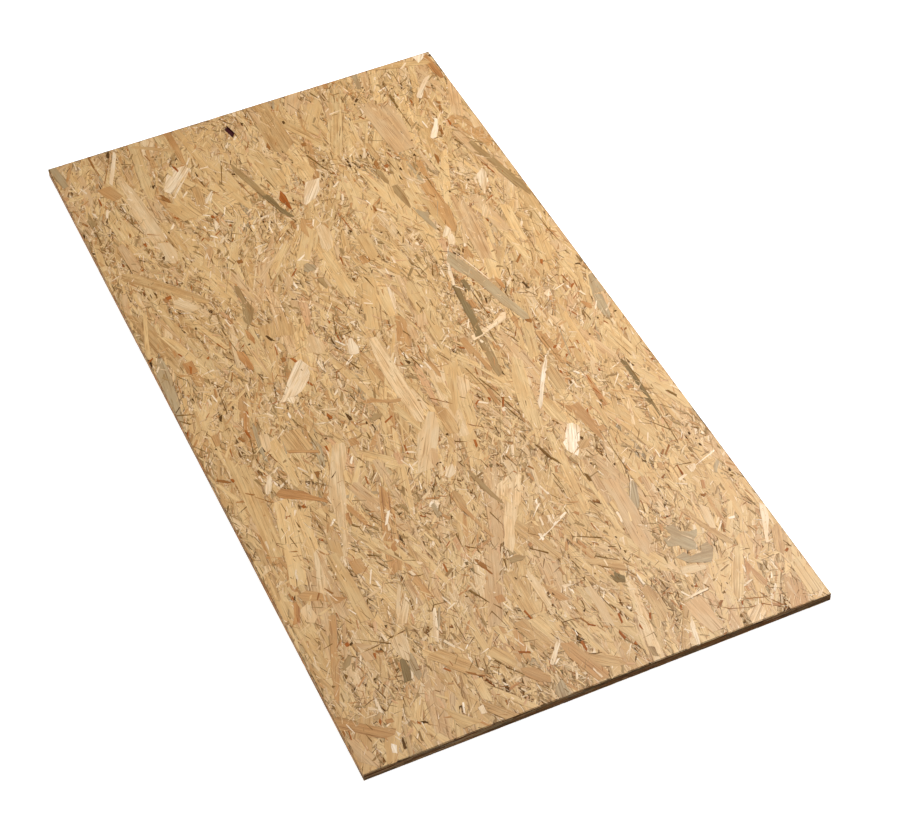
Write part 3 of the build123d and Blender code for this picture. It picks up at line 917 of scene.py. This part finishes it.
def splinter_outline(length, width, chance):
    """Four corners of a splinter, narrower at one end, and cut off aslant."""
    far, near = width / 2 * chance.permutation((chance.uniform(0.05, 0.5), chance.uniform(0.5, 1)))
    slant = chance.normal(0, 0.7 * width, 2)
    return np.array((
        (far, length / 2 + slant[0]), (-far, length / 2 - slant[0]),
        (-near, -length / 2 + slant[1]), (near, -length / 2 - slant[1]),
    ))


def side_steps(length, width, count, chance):
    """Corners down one side of a strand. Where a splinter has split off, the side steps in."""
    rows = []
    run = 0.02 * length
    for y in np.sort(chance.uniform(-0.36, 0.36, count))[::-1] * length:
        inner, outer = width / 2 * chance.uniform((0.72, 0.92), (0.95, 1.04))
        rows += [(inner, y + run), (outer, y)] if y > 0 else [(outer, y), (inner, y - run)]
    return rows


def cut(outline, away, reach):
    """What is left of an outline where its distance along `away` is at most `reach`, or None."""
    past = outline[:, :2] @ away - reach
    if (past <= 0).all():
        return outline
    if (past >= 0).all():
        return None
    kept = []
    for here, there, a, b in zip(outline, np.roll(outline, -1, 0), past, np.roll(past, -1)):
        if a <= 0:
            kept.append(here)
        if a * b < 0:
            kept.append(here + (there - here) * a / (a - b))
    return np.array(kept) if len(kept) > 2 else None


def signed_area(outline):
    """The area of an outline, positive where its corners go round anticlockwise."""
    x, y = outline[:, 0], outline[:, 1]
    return (x * np.roll(y, -1) - y * np.roll(x, -1)).sum() / 2


def area(outline):
    return abs(signed_area(outline))


def keep_out(outline, gap):
    """Trims an outline back behind the edge of a convex gap that costs it least."""
    over = outline
    edges = []
    for here, there in zip(gap, np.roll(gap, -1, 0)):
        way = there - here
        away = np.array((way[1], -way[0])) / np.hypot(*way)
        edges.append((away, float(away @ here)))
        over = cut(over, away, away @ here)
        if over is None:
            return outline
    outer = [cut(outline, -away, -reach) for away, reach in edges]
    outer = [piece for piece in outer if piece is not None]
    return max(outer, key=area) if outer else None


class Pile:
    """The strands of one piece, cut to its window on a side and joined into one mesh."""

    def __init__(self, side, window, root, gap=None):
        self.side = side
        self.low, self.high = np.array(window[0]), np.array(window[1])
        self.root = root
        self.gap = gap
        self.rows = []

    def add(self, strand, relief):
        outline = self.fitted(strand)
        if outline is None or area(outline) < LEAST_AREA:
            return
        slope = (outline[:, :2] - strand.middle) @ strand.tilt
        lift = slope - slope.max() - relief * (1 - strand.level)
        self.rows.append((strand, outline, lift))

    def fitted(self, strand):
        """What is left of a strand's outline inside the window, the side and the gap's edge, or None."""
        outline = strand.outline
        low, high = outline[:, :2].min(0), outline[:, :2].max(0)
        if (low >= self.high).any() or (high <= self.low).any():
            return None
        reach = np.array((self.side.half_run, self.side.half_rise)) - strand.trim
        most, least = np.minimum(self.high, reach), np.maximum(self.low, -reach)
        for axis in (0, 1):
            for away, limit in ((1, most[axis]), (-1, -least[axis])):
                if outline is not None and (away * outline[:, axis] > limit).any():
                    outline = cut(outline, away * np.eye(2)[axis], limit)
        if outline is not None and self.gap is not None:
            outline = keep_out(outline, self.gap)
        return outline

    def atlas(self, flat):
        """Where points of the window fall on the piece's bake map."""
        return (flat - self.low) / (self.high - self.low)

    def build(self, name, material):
        """The joined mesh. Undersides and walls come before tops, and low tops before high ones."""
        self.rows.sort(key=lambda row: row[0].level)
        corners, seats, tops, hidden = [], [], [], []
        tints, grains, reaches = [], [], []
        count = 0
        for strand, outline, lift in self.rows:
            n = len(outline)
            flat = outline[:, :2]
            tucked = flat + (flat.mean(0) - flat) * BAKE_TUCK
            corners += [self.side.place(flat, lift), self.side.place(flat, np.full(n, -self.root))]
            seats += [self.atlas(flat), self.atlas(tucked)]
            top = list(range(count, count + n))
            base = [i + n for i in top]
            tops.append(top)
            hidden.append(base[::-1])
            hidden += [(a, b, b + n, a + n)[::-1] for a, b in zip(top, top[1:] + top[:1])]
            grain = np.column_stack((outline[:, 2:], np.full(n, strand.seed)))
            grains += [grain, grain]
            tints.append(np.tile((*strand.colour, 1), (2 * n, 1)))
            reaches.append(np.tile((*strand.half_size, strand.contrast), (2 * n, 1)))
            count += 2 * n
        mesh = bpy.data.meshes.new(name)
        mesh.from_pydata(np.concatenate(corners), [], hidden + tops)
        for label, form, field, values in (
            ("tint", "FLOAT_COLOR", "color", tints),
            ("grain", "FLOAT_VECTOR", "vector", grains),
            ("reach", "FLOAT_VECTOR", "vector", reaches),
        ):
            column = np.concatenate(values).astype(np.float32)
            mesh.attributes.new(label, form, "POINT").data.foreach_set(field, column.ravel())
        owner = np.empty(len(mesh.loops), np.int32)
        mesh.loops.foreach_get("vertex_index", owner)
        chart = np.clip(np.concatenate(seats), 0, 1)[owner].astype(np.float32)
        mesh.uv_layers.new(name="OFBake").data.foreach_set("uv", chart.ravel())
        mesh.materials.append(material)
        piece = bpy.data.objects.new(name, mesh)
        bpy.context.scene.collection.objects.link(piece)
        finish_piece(piece)


def finish_piece(piece):
    """Hands a piece to the frame: it rides on the sheet's body."""
    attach(piece, "root")


def tone_of(name):
    return np.array(getattr(bpy.context.scene.strand_tones, name))


def wood_colour(name, wander, chance, bright=1.0):
    """A tone, lightened or darkened by its kind's painted light, with a little lightness of its own."""
    return tone_of(name) * bright * math.exp(chance.normal(0, wander))


def scatter(side, kind, chance, lean_field, crowd_field):
    """Strands of one kind spread evenly over a side, each leaning with its neighbours."""
    columns = math.ceil(2 * side.half_run / kind.apart[0])
    rows = math.ceil(2 * side.half_rise / kind.apart[1])
    found = []
    for i in range(columns):
        for j in range(rows):
            x, y = (np.array((i, j)) + chance.random(2)) / (columns, rows) * 2 - 1
            if not kind.band[0] <= abs(y) <= kind.band[1]:
                continue
            x, y = x * side.half_run, y * side.half_rise
            crowding = kind.crowd * CROWD_GAIN * crowd_field.at(x, y)
            if chance.random() > 1 - abs(kind.crowd) * CROWD_COST + crowding:
                continue
            lean = kind.heading + kind.wander * lean_field.at(x, y) + chance.normal(0, kind.spread)
            if chance.random() < kind.astray:
                lean = chance.uniform(-UPRIGHT, UPRIGHT)
            length = chance.uniform(*kind.lengths)
            width = chance.uniform(*kind.widths)
            name = kind.names[int(chance.choice(len(kind.names), p=kind.shares))]
            colour = wood_colour(name, SCATTERED_WANDER, chance, kind.bright)
            outline = strand_outline(length, width, kind.end_steps, kind.ragged, chance)
            level = chance.uniform(*kind.levels)
            found.append(Strand((x, y), (length, width), lean, level, colour, outline, chance))
    return found


def scatter_all(side, kinds, chance, crowd_field=None):
    """Strands of several kinds over a side. Without a crowd field, they crowd where chance has it."""
    lean_field = Drift(LEAN_WAVE, chance)
    crowd_field = crowd_field or Drift(CROWD_WAVE, chance)
    return [strand for kind in kinds for strand in scatter(side, kind, chance, lean_field, crowd_field)]


def worn(corners, chance):
    """Corners with one more on every long edge, a little out of line, so that no edge is ruled."""
    rows = []
    for here, there in zip(corners, np.roll(corners, -1, 0)):
        rows.append(here)
        reach = np.hypot(*(there - here))
        if reach > LONG_EDGE:
            aside = np.array((there[1] - here[1], here[0] - there[0])) / reach
            share = chance.uniform(0.3, 0.7)
            rows.append(here + (there - here) * share + aside * chance.normal(0, EDGE_WANDER))
    return np.array(rows)


def traced_strands(chance):
    """The traced strands, the largest lowest. The grain of each runs the way that it reaches furthest."""
    found = []
    for name, outlines in TRACED_STRANDS.items():
        for row in outlines:
            corners = worn(np.array(row).reshape(-1, 2) * MM, chance)
            middle = corners.mean(0)
            along = np.linalg.svd(corners - middle)[2][0]
            along = along if along[1] > 0 else -along
            lay = np.array(((along[1], -along[0]), along))
            flat = (corners - middle) @ lay.T
            centre = (flat.min(0) + flat.max(0)) / 2
            flat -= centre
            if signed_area(flat) < 0:
                flat = flat[::-1]
            size = (np.ptp(flat[:, 1]), np.ptp(flat[:, 0]))
            level = TRACED_LEVEL - TRACED_SINK * min(1, area(flat) / LARGE_AREA)
            lean = math.degrees(math.atan2(*along))
            colour = wood_colour(name, TRACED_WANDER, chance)
            strand = Strand(middle + centre @ lay, size, lean, level, colour, flat, chance)
            if name in STREAKED:
                strand.contrast = 1.0
            found.append(strand)
    return found


def traced_slivers(chance):
    """The traced slivers and flecks."""
    rows = []
    for name, ends in TRACED_SLIVERS.items():
        for x1, y1, x2, y2, width in ends:
            lean = math.degrees(math.atan2(x2 - x1, y2 - y1))
            length = math.hypot(x2 - x1, y2 - y1) + width
            rows.append(((x1 + x2) / 2, (y1 + y2) / 2, length, width, lean, name))
    rows += [(*row, name) for name, flecks in TRACED_FLECKS.items() for row in flecks]
    found = []
    for x, y, length, width, lean, name in rows:
        size = (length * MM, width * MM)
        end_steps = SPLINTER if width < WIDEST_SPLINTER and length > 2 * width else 1
        outline = strand_outline(*size, end_steps, 0.3, chance)
        level = chance.uniform(0.97, 1.0)
        colour = wood_colour(name, TRACED_WANDER, chance)
        found.append(Strand((x * MM, y * MM), size, lean, level, colour, outline, chance))
    return found


def node(tree, kind, inputs=None, **settings):
    """Adds a shader node. Each input is a value or a socket to link from."""
    made = tree.nodes.new("ShaderNode" + kind)
    for name, value in settings.items():
        setattr(made, name, value)
    for key, value in (inputs or {}).items():
        feed(tree, made.inputs[key], value)
    return made


def feed(tree, socket, value):
    """Gives an input a value, or a socket to link from."""
    if isinstance(value, bpy.types.NodeSocket):
        tree.links.new(value, socket)
    else:
        socket.default_value = value


def calc(tree, operation, *values):
    return node(tree, "Math", dict(enumerate(values)), operation=operation).outputs[0]


def times(tree, first, second):
    return calc(tree, "MULTIPLY", first, second)


def spread(tree, value, low, high, to_low=0.0, to_high=1.0):
    """Maps a value from low..high to to_low..to_high, smoothly and clamped."""
    inputs = {"Value": value, "From Min": low, "From Max": high, "To Min": to_low, "To Max": to_high}
    return node(tree, "MapRange", inputs, interpolation_type="SMOOTHSTEP").outputs[0]


def noise(tree, vector, scale, detail, roughness=0.55):
    """Noise whose features are 1/scale long on each axis of a vector."""
    stretched = node(tree, "VectorMath", {0: vector, 1: scale}, operation="MULTIPLY").outputs[0]
    inputs = {"Vector": stretched, "Scale": 1, "Detail": detail, "Roughness": roughness}
    return node(tree, "TexNoise", inputs).outputs["Fac"]


def colour_value(value):
    """A socket as it is, or a colour as the four numbers that a node takes."""
    return value if isinstance(value, bpy.types.NodeSocket) else (*value, 1)


def blend(tree, factor, first, second, kind="MIX"):
    """Mixes two colours, each a socket or three numbers."""
    inputs = {0: factor, 6: colour_value(first), 7: colour_value(second)}
    return node(tree, "Mix", inputs, data_type="RGBA", blend_type=kind).outputs[2]


def stained(tree, colour, stain, share=None):
    """A colour whose red, green and blue are multiplied by a stain's, in full or by a share."""
    full = blend(tree, 1, colour, stain, "MULTIPLY")
    return full if share is None else blend(tree, share, colour, full)


def new_material(name):
    """A material with its node tree and its shader."""
    material = bpy.data.materials.new(name)
    material.use_nodes = True
    return material, material.node_tree, material.node_tree.nodes["Principled BSDF"]


def grained_wood(tree, tint, grain, fibres, half_size, contrast):
    """Wood with growth bands and fibres along the grain, warm patches and a few dark scores."""
    bands = noise(tree, grain, BANDS, 2)
    mottle = noise(tree, grain, MOTTLE, 2)
    streak = calc(tree, "ADD", times(tree, bands, 0.5), times(tree, fibres, 0.5))
    streak = calc(tree, "ADD", streak, times(tree, calc(tree, "SUBTRACT", mottle, 0.5), 0.3))
    warmed = stained(tree, tint, WARM_PATCH, spread(tree, mottle, 0.35, 0.65, 1, 0))
    dark = stained(tree, warmed, DARK_GRAIN)
    light = stained(tree, warmed, LIGHT_GRAIN)
    streaked = blend(tree, spread(tree, streak, 0.38, 0.62), dark, light)
    wood = blend(tree, times(tree, half_size[2], contrast), warmed, streaked)
    scores = spread(tree, noise(tree, grain, SCORES, 1), 0.6, 0.68)
    on_wide_strands = spread(tree, half_size[0], 1.5 * MM, 4 * MM, 0, 0.75)
    return stained(tree, wood, SCORE_STAIN, times(tree, scores, on_wide_strands))


def broken_rim_shade(tree, grain, half_width, inside, rim_shade):
    """How dark each point is from lying near its strand's rim, in broken stretches, as painted shade and
    resin.
    """
    width = spread(tree, half_width, 0.4 * MM, 4 * MM, 0.2 * MM, 1.2 * MM)
    rim = spread(tree, inside, 0.05 * MM, width, 1, 0)
    broken = spread(tree, noise(tree, grain, RIM_BREAKS, 2), 0.4, 0.6, 0.2, 1)
    return times(tree, times(tree, rim, broken), rim_shade)


def strand_material(name, contrast, rim_shade):
    """Wood whose growth bands and fibres run along each strand, darker along its broken rim in painted shade
    and resin.
    """
    material, tree, shader = new_material(name)
    tint = node(tree, "Attribute", attribute_name="tint").outputs["Color"]
    grain = node(tree, "Attribute", attribute_name="grain").outputs["Vector"]
    reach = node(tree, "Attribute", attribute_name="reach").outputs["Vector"]
    place = node(tree, "SeparateXYZ", {0: grain}).outputs
    half_size = node(tree, "SeparateXYZ", {0: reach}).outputs
    from_side = calc(tree, "SUBTRACT", half_size[0], calc(tree, "ABSOLUTE", place[0]))
    from_end = calc(tree, "SUBTRACT", half_size[1], calc(tree, "ABSOLUTE", place[1]))
    inside = calc(tree, "MINIMUM", from_side, from_end)
    fibres = noise(tree, grain, FIBRES, 3, 0.7)
    wood = grained_wood(tree, tint, grain, fibres, half_size, contrast)
    # painted shade, with some resin, along each strand's broken rim
    wood = stained(tree, wood, RIM_SHADE_AND_RESIN, broken_rim_shade(tree, grain, half_size[0], inside, rim_shade))
    feed(tree, shader.inputs["Base Color"], wood)
    feed(tree, shader.inputs["Roughness"], spread(tree, fibres, 0.3, 0.7, 0.62, 0.5))
    brightness = node(tree, "RGBToBW", {"Color": tint}).outputs[0]
    feed(tree, shader.inputs["Specular IOR Level"], spread(tree, brightness, 0.1, 0.3, 0.08, 0.4))
    edge_rise = times(tree, spread(tree, inside, 0, ROUNDED_EDGE), GRAIN_RISE)
    height = calc(tree, "ADD", edge_rise, times(tree, fibres, GRAIN_RISE))
    bump = node(tree, "Bump", {"Height": height, "Strength": 0.9, "Distance": 1.0})
    feed(tree, shader.inputs["Normal"], bump.outputs[0])
    return material


def slab_material():
    """The dark inside that shows between strands, painted shade of the hollows as well as resin, darkest
    round the open gap as painted shade of its hollow.
    """
    material, tree, shader = new_material("dark_inside")
    spot = node(tree, "TexCoord").outputs["Object"]
    mottle = noise(tree, spot, SLAB_MOTTLE, 3)
    height = node(tree, "SeparateXYZ", {0: spot}).outputs["Z"]
    from_middle = calc(tree, "ABSOLUTE", calc(tree, "SUBTRACT", height, MID_HEIGHT))
    near_face = calc(tree, "GREATER_THAN", from_middle, MID_HEIGHT - BROWN_DEPTH)
    ends = {0: spot, 1: tuple(gap_corners().mean(0))}
    from_gap = node(tree, "VectorMath", ends, operation="DISTANCE").outputs["Value"]
    brown_part = times(tree, near_face, calc(tree, "GREATER_THAN", from_gap, GAP_SHADE_REACH))
    brown = blend(tree, mottle, tone_of("bark"), tone_of("umber"))
    # painted shade: brown between the strands near the faces, the gap tone round the open gap and deeper in
    feed(tree, shader.inputs["Base Color"], blend(tree, brown_part, tone_of("gap"), brown))
    feed(tree, shader.inputs["Roughness"], 0.8)
    feed(tree, shader.inputs["Specular IOR Level"], 0.15)
    bump = node(tree, "Bump", {"Height": mottle, "Strength": 0.5, "Distance": 0.5 * MM})
    feed(tree, shader.inputs["Normal"], bump.outputs[0])
    return material


def gap_corners():
    """The open gap's four corners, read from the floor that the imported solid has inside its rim."""
    places = np.array([vertex.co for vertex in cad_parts[SHEET].data.vertices])
    depth = THICKNESS - places[:, 2]
    inner = (np.abs(places[:, :2]) < (HALF_WIDTH - SHEET_RIM, HALF_LENGTH - SHEET_RIM)).all(1)
    floor = places[inner & (depth > GAP_DEPTH_SEEN) & (depth < MID_HEIGHT)]
    picks = (floor[:, 1].argmin(), floor[:, 0].argmax(), floor[:, 1].argmax(), floor[:, 0].argmin())
    return floor[list(picks)]


def gap_cutter():
    """A prism on the gap's corners, from the gap's floor to above the upper face."""
    corners = gap_corners()
    bpy.ops.object.select_all(action="DESELECT")
    bpy.ops.mesh.primitive_cylinder_add(vertices=4, radius=1, depth=2, location=(0, 0, 0))
    cutter = bpy.context.active_object
    for vertex in cutter.data.vertices:
        nearest = round(math.atan2(vertex.co.x, -vertex.co.y) / (math.pi / 2)) % 4
        corner = corners[nearest]
        vertex.co = (corner[0], corner[1], corner[2] if vertex.co.z < 0 else THICKNESS + MM)
    return cutter


def deselect_mesh(piece):
    """Leaves edit mode's selection empty, whatever the mesh had selected."""
    bpy.ops.object.mode_set(mode="OBJECT")
    for part in (*piece.data.polygons, *piece.data.edges, *piece.data.vertices):
        part.select = False


def bevel_edges(piece, wanted, offset, segments):
    """Bevels the edges whose two ends the test `wanted` accepts."""
    deselect_mesh(piece)
    places = [vertex.co for vertex in piece.data.vertices]
    for edge in piece.data.edges:
        edge.select = wanted(*(places[i] for i in edge.vertices))
    bpy.ops.object.mode_set(mode="EDIT")
    bpy.ops.mesh.select_mode(type="EDGE")
    bpy.ops.mesh.bevel(offset=offset, segments=segments)
    bpy.ops.object.mode_set(mode="OBJECT")


class STRANDBOARD_OT_slab(bpy.types.Operator):
    """Make the dark slab that carries the strands, with the open gap sunk in its upper face"""

    bl_idname = "strand_board.slab"
    bl_label = "Slab"

    def execute(self, context):
        sizes = context.scene.sheet_sizes
        bpy.ops.object.select_all(action="DESELECT")
        bpy.ops.mesh.primitive_cube_add(size=1, location=(0, 0, MID_HEIGHT))
        slab = context.active_object
        slab.name = slab.data.name = "slab"
        bpy.ops.object.mode_set(mode="EDIT")
        span = [2 * (half - sizes.bed) for half in (HALF_WIDTH, HALF_LENGTH, MID_HEIGHT)]
        bpy.ops.transform.resize(value=span)
        bevel_edges(slab, lambda a, b: abs(a.z - b.z) > MM, sizes.blunt_corner, 3)
        bevel_edges(slab, lambda a, b: abs(a.z - b.z) < MM / 10, SLAB_ARRIS, 1)
        bpy.ops.object.transform_apply(location=True, rotation=True, scale=True)

        cutter = gap_cutter()
        sink = slab.modifiers.new("open gap", "BOOLEAN")
        sink.operation = "DIFFERENCE"
        sink.solver = "EXACT"
        sink.object = cutter
        bpy.ops.object.select_all(action="DESELECT")
        context.view_layer.objects.active = slab
        slab.select_set(True)
        bpy.ops.object.modifier_apply(modifier=sink.name)
        bpy.data.objects.remove(cutter)
        slab.data.materials.append(slab_material())
        finish_piece(slab)
        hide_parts(SHEET)
        return {"FINISHED"}


def lay_strands(side, label, lanes, strands, relief, material, gap=None):
    """Builds a side's strands as pieces that lie side by side, each across one lane of its run."""
    root = bpy.context.scene.sheet_sizes.bed + ROOT_IN_SLAB
    reach = 2 * side.half_run / lanes
    for lane in range(lanes):
        left = -side.half_run + lane * reach
        pile = Pile(side, ((left, -side.half_rise), (left + reach, side.half_rise)), root, gap)
        for strand in strands:
            pile.add(strand, relief)
        pile.build(f"{label}_strands_{lane + 1}", material)


class STRANDBOARD_OT_upper_strands(bpy.types.Operator):
    """Lay the strands of the upper face, the traced ones among them"""

    bl_idname = "strand_board.upper_strands"
    bl_label = "Upper strands"

    def execute(self, context):
        sizes = context.scene.sheet_sizes
        chance = np.random.default_rng(sizes.seed)
        crowd_field = Patches(BUSY_PATCHES, CALM_PATCHES, PATCH_REACH)
        strands = scatter_all(UPPER, FACE_KINDS, chance, crowd_field)
        strands += traced_strands(chance)
        strands += traced_slivers(chance)
        material = strand_material("pressed_strands", 0.7, 0.75)
        gap = gap_corners()[:, :2]
        gap = gap.mean(0) + (gap - gap.mean(0)) * GAP_SPREAD
        lay_strands(UPPER, "upper", sizes.lanes, strands, sizes.relief, material, gap)
        return {"FINISHED"}


class STRANDBOARD_OT_lower_strands(bpy.types.Operator):
    """Lay the strands of the underside"""

    bl_idname = "strand_board.lower_strands"
    bl_label = "Lower strands"

    def execute(self, context):
        sizes = context.scene.sheet_sizes
        strands = scatter_all(UNDER, BACK_KINDS, np.random.default_rng(sizes.seed + 1))
        material = strand_material("pressed_strands_below", 0.55, 0.75)
        lay_strands(UNDER, "lower", 2, strands, sizes.relief, material)
        return {"FINISHED"}


class STRANDBOARD_OT_sawn_edges(bpy.types.Operator):
    """Lay the strand sections that show on the four sawn sides"""

    bl_idname = "strand_board.sawn_edges"
    bl_label = "Sawn edges"

    def execute(self, context):
        sizes = context.scene.sheet_sizes
        chance = np.random.default_rng(sizes.seed + 2)
        material = strand_material("sawn_strands", 0.5, 0.9)
        # The short sides' wood stays dark as painted shade, and the long sides' is lightened as painted light
        short = sawn_kinds(ACROSS_THE_LAY, ALONG_THE_LAY_INSIDE, SHORT_SIDES_PAINTED_LIGHT)
        long = sawn_kinds(ALONG_THE_LAY, ACROSS_THE_LAY, LONG_SIDES_PAINTED_LIGHT)
        for side, label, kinds in (
            (NEAR_EDGE, "near_edge", short), (FAR_EDGE, "far_edge", short),
            (LEFT_EDGE, "left_edge", long), (RIGHT_EDGE, "right_edge", long),
        ):
            strands = scatter_all(side, kinds, chance)
            lay_strands(side, label, 1, strands, SAWN_RELIEF * sizes.relief, material)
        return {"FINISHED"}


class STRANDBOARD_OT_stage(bpy.types.Operator):
    """Set the pale floor, the soft lights and the camera at the photograph's angle"""

    bl_idname = "strand_board.stage"
    bl_label = "Stage"

    def execute(self, context):
        stage = context.scene.strand_stage
        bpy.ops.object.select_all(action="DESELECT")
        bpy.ops.mesh.primitive_plane_add(size=FLOOR_SIZE, location=(0, 0, -FLOOR_DROP))
        floor = context.active_object
        floor.name = "floor"
        floor.data.materials.append(floor_material())
        light_world(context.scene, stage.sky_strength)
        for name, (place, target, size, blind_rays) in LIGHTS.items():
            light = add_light(name, place, target, size, getattr(stage, name + "_power"))
            for rays in blind_rays:
                setattr(light, "visible_" + rays, False)
        add_camera(context.scene, stage)
        context.scene.view_settings.view_transform = "Standard"
        return {"FINISHED"}


def floor_material():
    """A white floor that keeps the sheet's shadow and shows white to the camera."""
    material, tree, shader = new_material("pale_floor")
    tree.nodes.remove(shader)
    path = node(tree, "LightPath").outputs
    seen = calc(tree, "MAXIMUM", path["Is Camera Ray"], path["Is Glossy Ray"])
    glow = node(tree, "Emission", {"Color": (1, 1, 1, 1), "Strength": times(tree, seen, FLOOR_GLOW)})
    matt = node(tree, "BsdfDiffuse", {"Color": (FLOOR_GREY, FLOOR_GREY, FLOOR_GREY, 1)})
    both = node(tree, "AddShader", {0: matt.outputs[0], 1: glow.outputs[0]})
    feed(tree, tree.nodes["Material Output"].inputs["Surface"], both.outputs[0])
    return material


def light_world(scene, strength):
    """An even white sky that is full white to the camera and gives the sheet the strength asked for."""
    world = bpy.data.worlds.new("soft_sky")
    scene.world = world
    world.use_nodes = True
    tree = world.node_tree
    path = node(tree, "LightPath").outputs
    seen = calc(tree, "MAXIMUM", path["Is Camera Ray"], path["Is Transmission Ray"])
    level = node(tree, "MapRange", {"Value": seen, "To Min": strength, "To Max": 1.0}).outputs[0]
    sky = tree.nodes["Background"]
    feed(tree, sky.inputs["Color"], (1, 1, 1, 1))
    feed(tree, sky.inputs["Strength"], level)


def add_light(name, place, target, size, power):
    """A round light that faces its target."""
    bpy.ops.object.light_add(type="AREA", location=place)
    light = bpy.context.active_object
    light.name = name
    light.data.shape = "DISK"
    light.data.size = size
    light.data.energy = power
    towards = np.array(target) - np.array(place)
    flat = math.hypot(towards[0], towards[1])
    light.rotation_euler = (math.atan2(flat, -towards[2]), 0, math.atan2(-towards[0], towards[1]))
    return light


def add_camera(scene, stage):
    """The photograph's camera: its direction from the aim, and a small turn about its line of sight."""
    back = np.array((
        math.sin(stage.azimuth) * math.cos(stage.elevation),
        -math.cos(stage.azimuth) * math.cos(stage.elevation),
        math.sin(stage.elevation),
    ))
    bpy.ops.object.camera_add(location=np.array(stage.aim) + stage.distance * back)
    camera = bpy.context.active_object
    camera.rotation_euler = (math.pi / 2 - stage.elevation, 0, stage.azimuth)
    camera.rotation_euler.rotate_axis("Z", stage.roll)
    camera.data.lens = stage.lens
    camera.data.sensor_width = SENSOR_WIDTH
    scene.camera = camera


class STRANDBOARD_PT_panel(bpy.types.Panel):
    """The sheet's steps and settings"""

    bl_label = "Strand Board"
    bl_idname = "STRANDBOARD_PT_panel"
    bl_space_type = "VIEW_3D"
    bl_region_type = "UI"
    bl_category = "Strand Board"

    def draw(self, context):
        layout = self.layout
        for name in SETTINGS:
            group = getattr(context.scene, name)
            box = layout.box()
            for setting in group.bl_rna.properties.keys():
                if setting not in {"rna_type", "name"}:
                    box.prop(group, setting)
        for step in STEPS:
            layout.operator(step.bl_idname)


STEPS = (
    STRANDBOARD_OT_slab, STRANDBOARD_OT_upper_strands, STRANDBOARD_OT_lower_strands,
    STRANDBOARD_OT_sawn_edges, STRANDBOARD_OT_stage,
)
SETTINGS = {"sheet_sizes": SheetSizes, "strand_tones": StrandTones, "strand_stage": StageSettings}


def register():
    for name, group in SETTINGS.items():
        bpy.utils.register_class(group)
        setattr(bpy.types.Scene, name, bpy.props.PointerProperty(type=group))
    for made in (*STEPS, STRANDBOARD_PT_panel):
        bpy.utils.register_class(made)


def unregister():
    for made in (*STEPS, STRANDBOARD_PT_panel):
        bpy.utils.unregister_class(made)
    for name, group in SETTINGS.items():
        delattr(bpy.types.Scene, name)
        bpy.utils.unregister_class(group)


def main():
    register()
    bpy.ops.strand_board.slab()
    bpy.ops.strand_board.upper_strands()
    bpy.ops.strand_board.lower_strands()
    bpy.ops.strand_board.sawn_edges()
    bpy.ops.strand_board.stage()


if __name__ == "__main__":
    main()
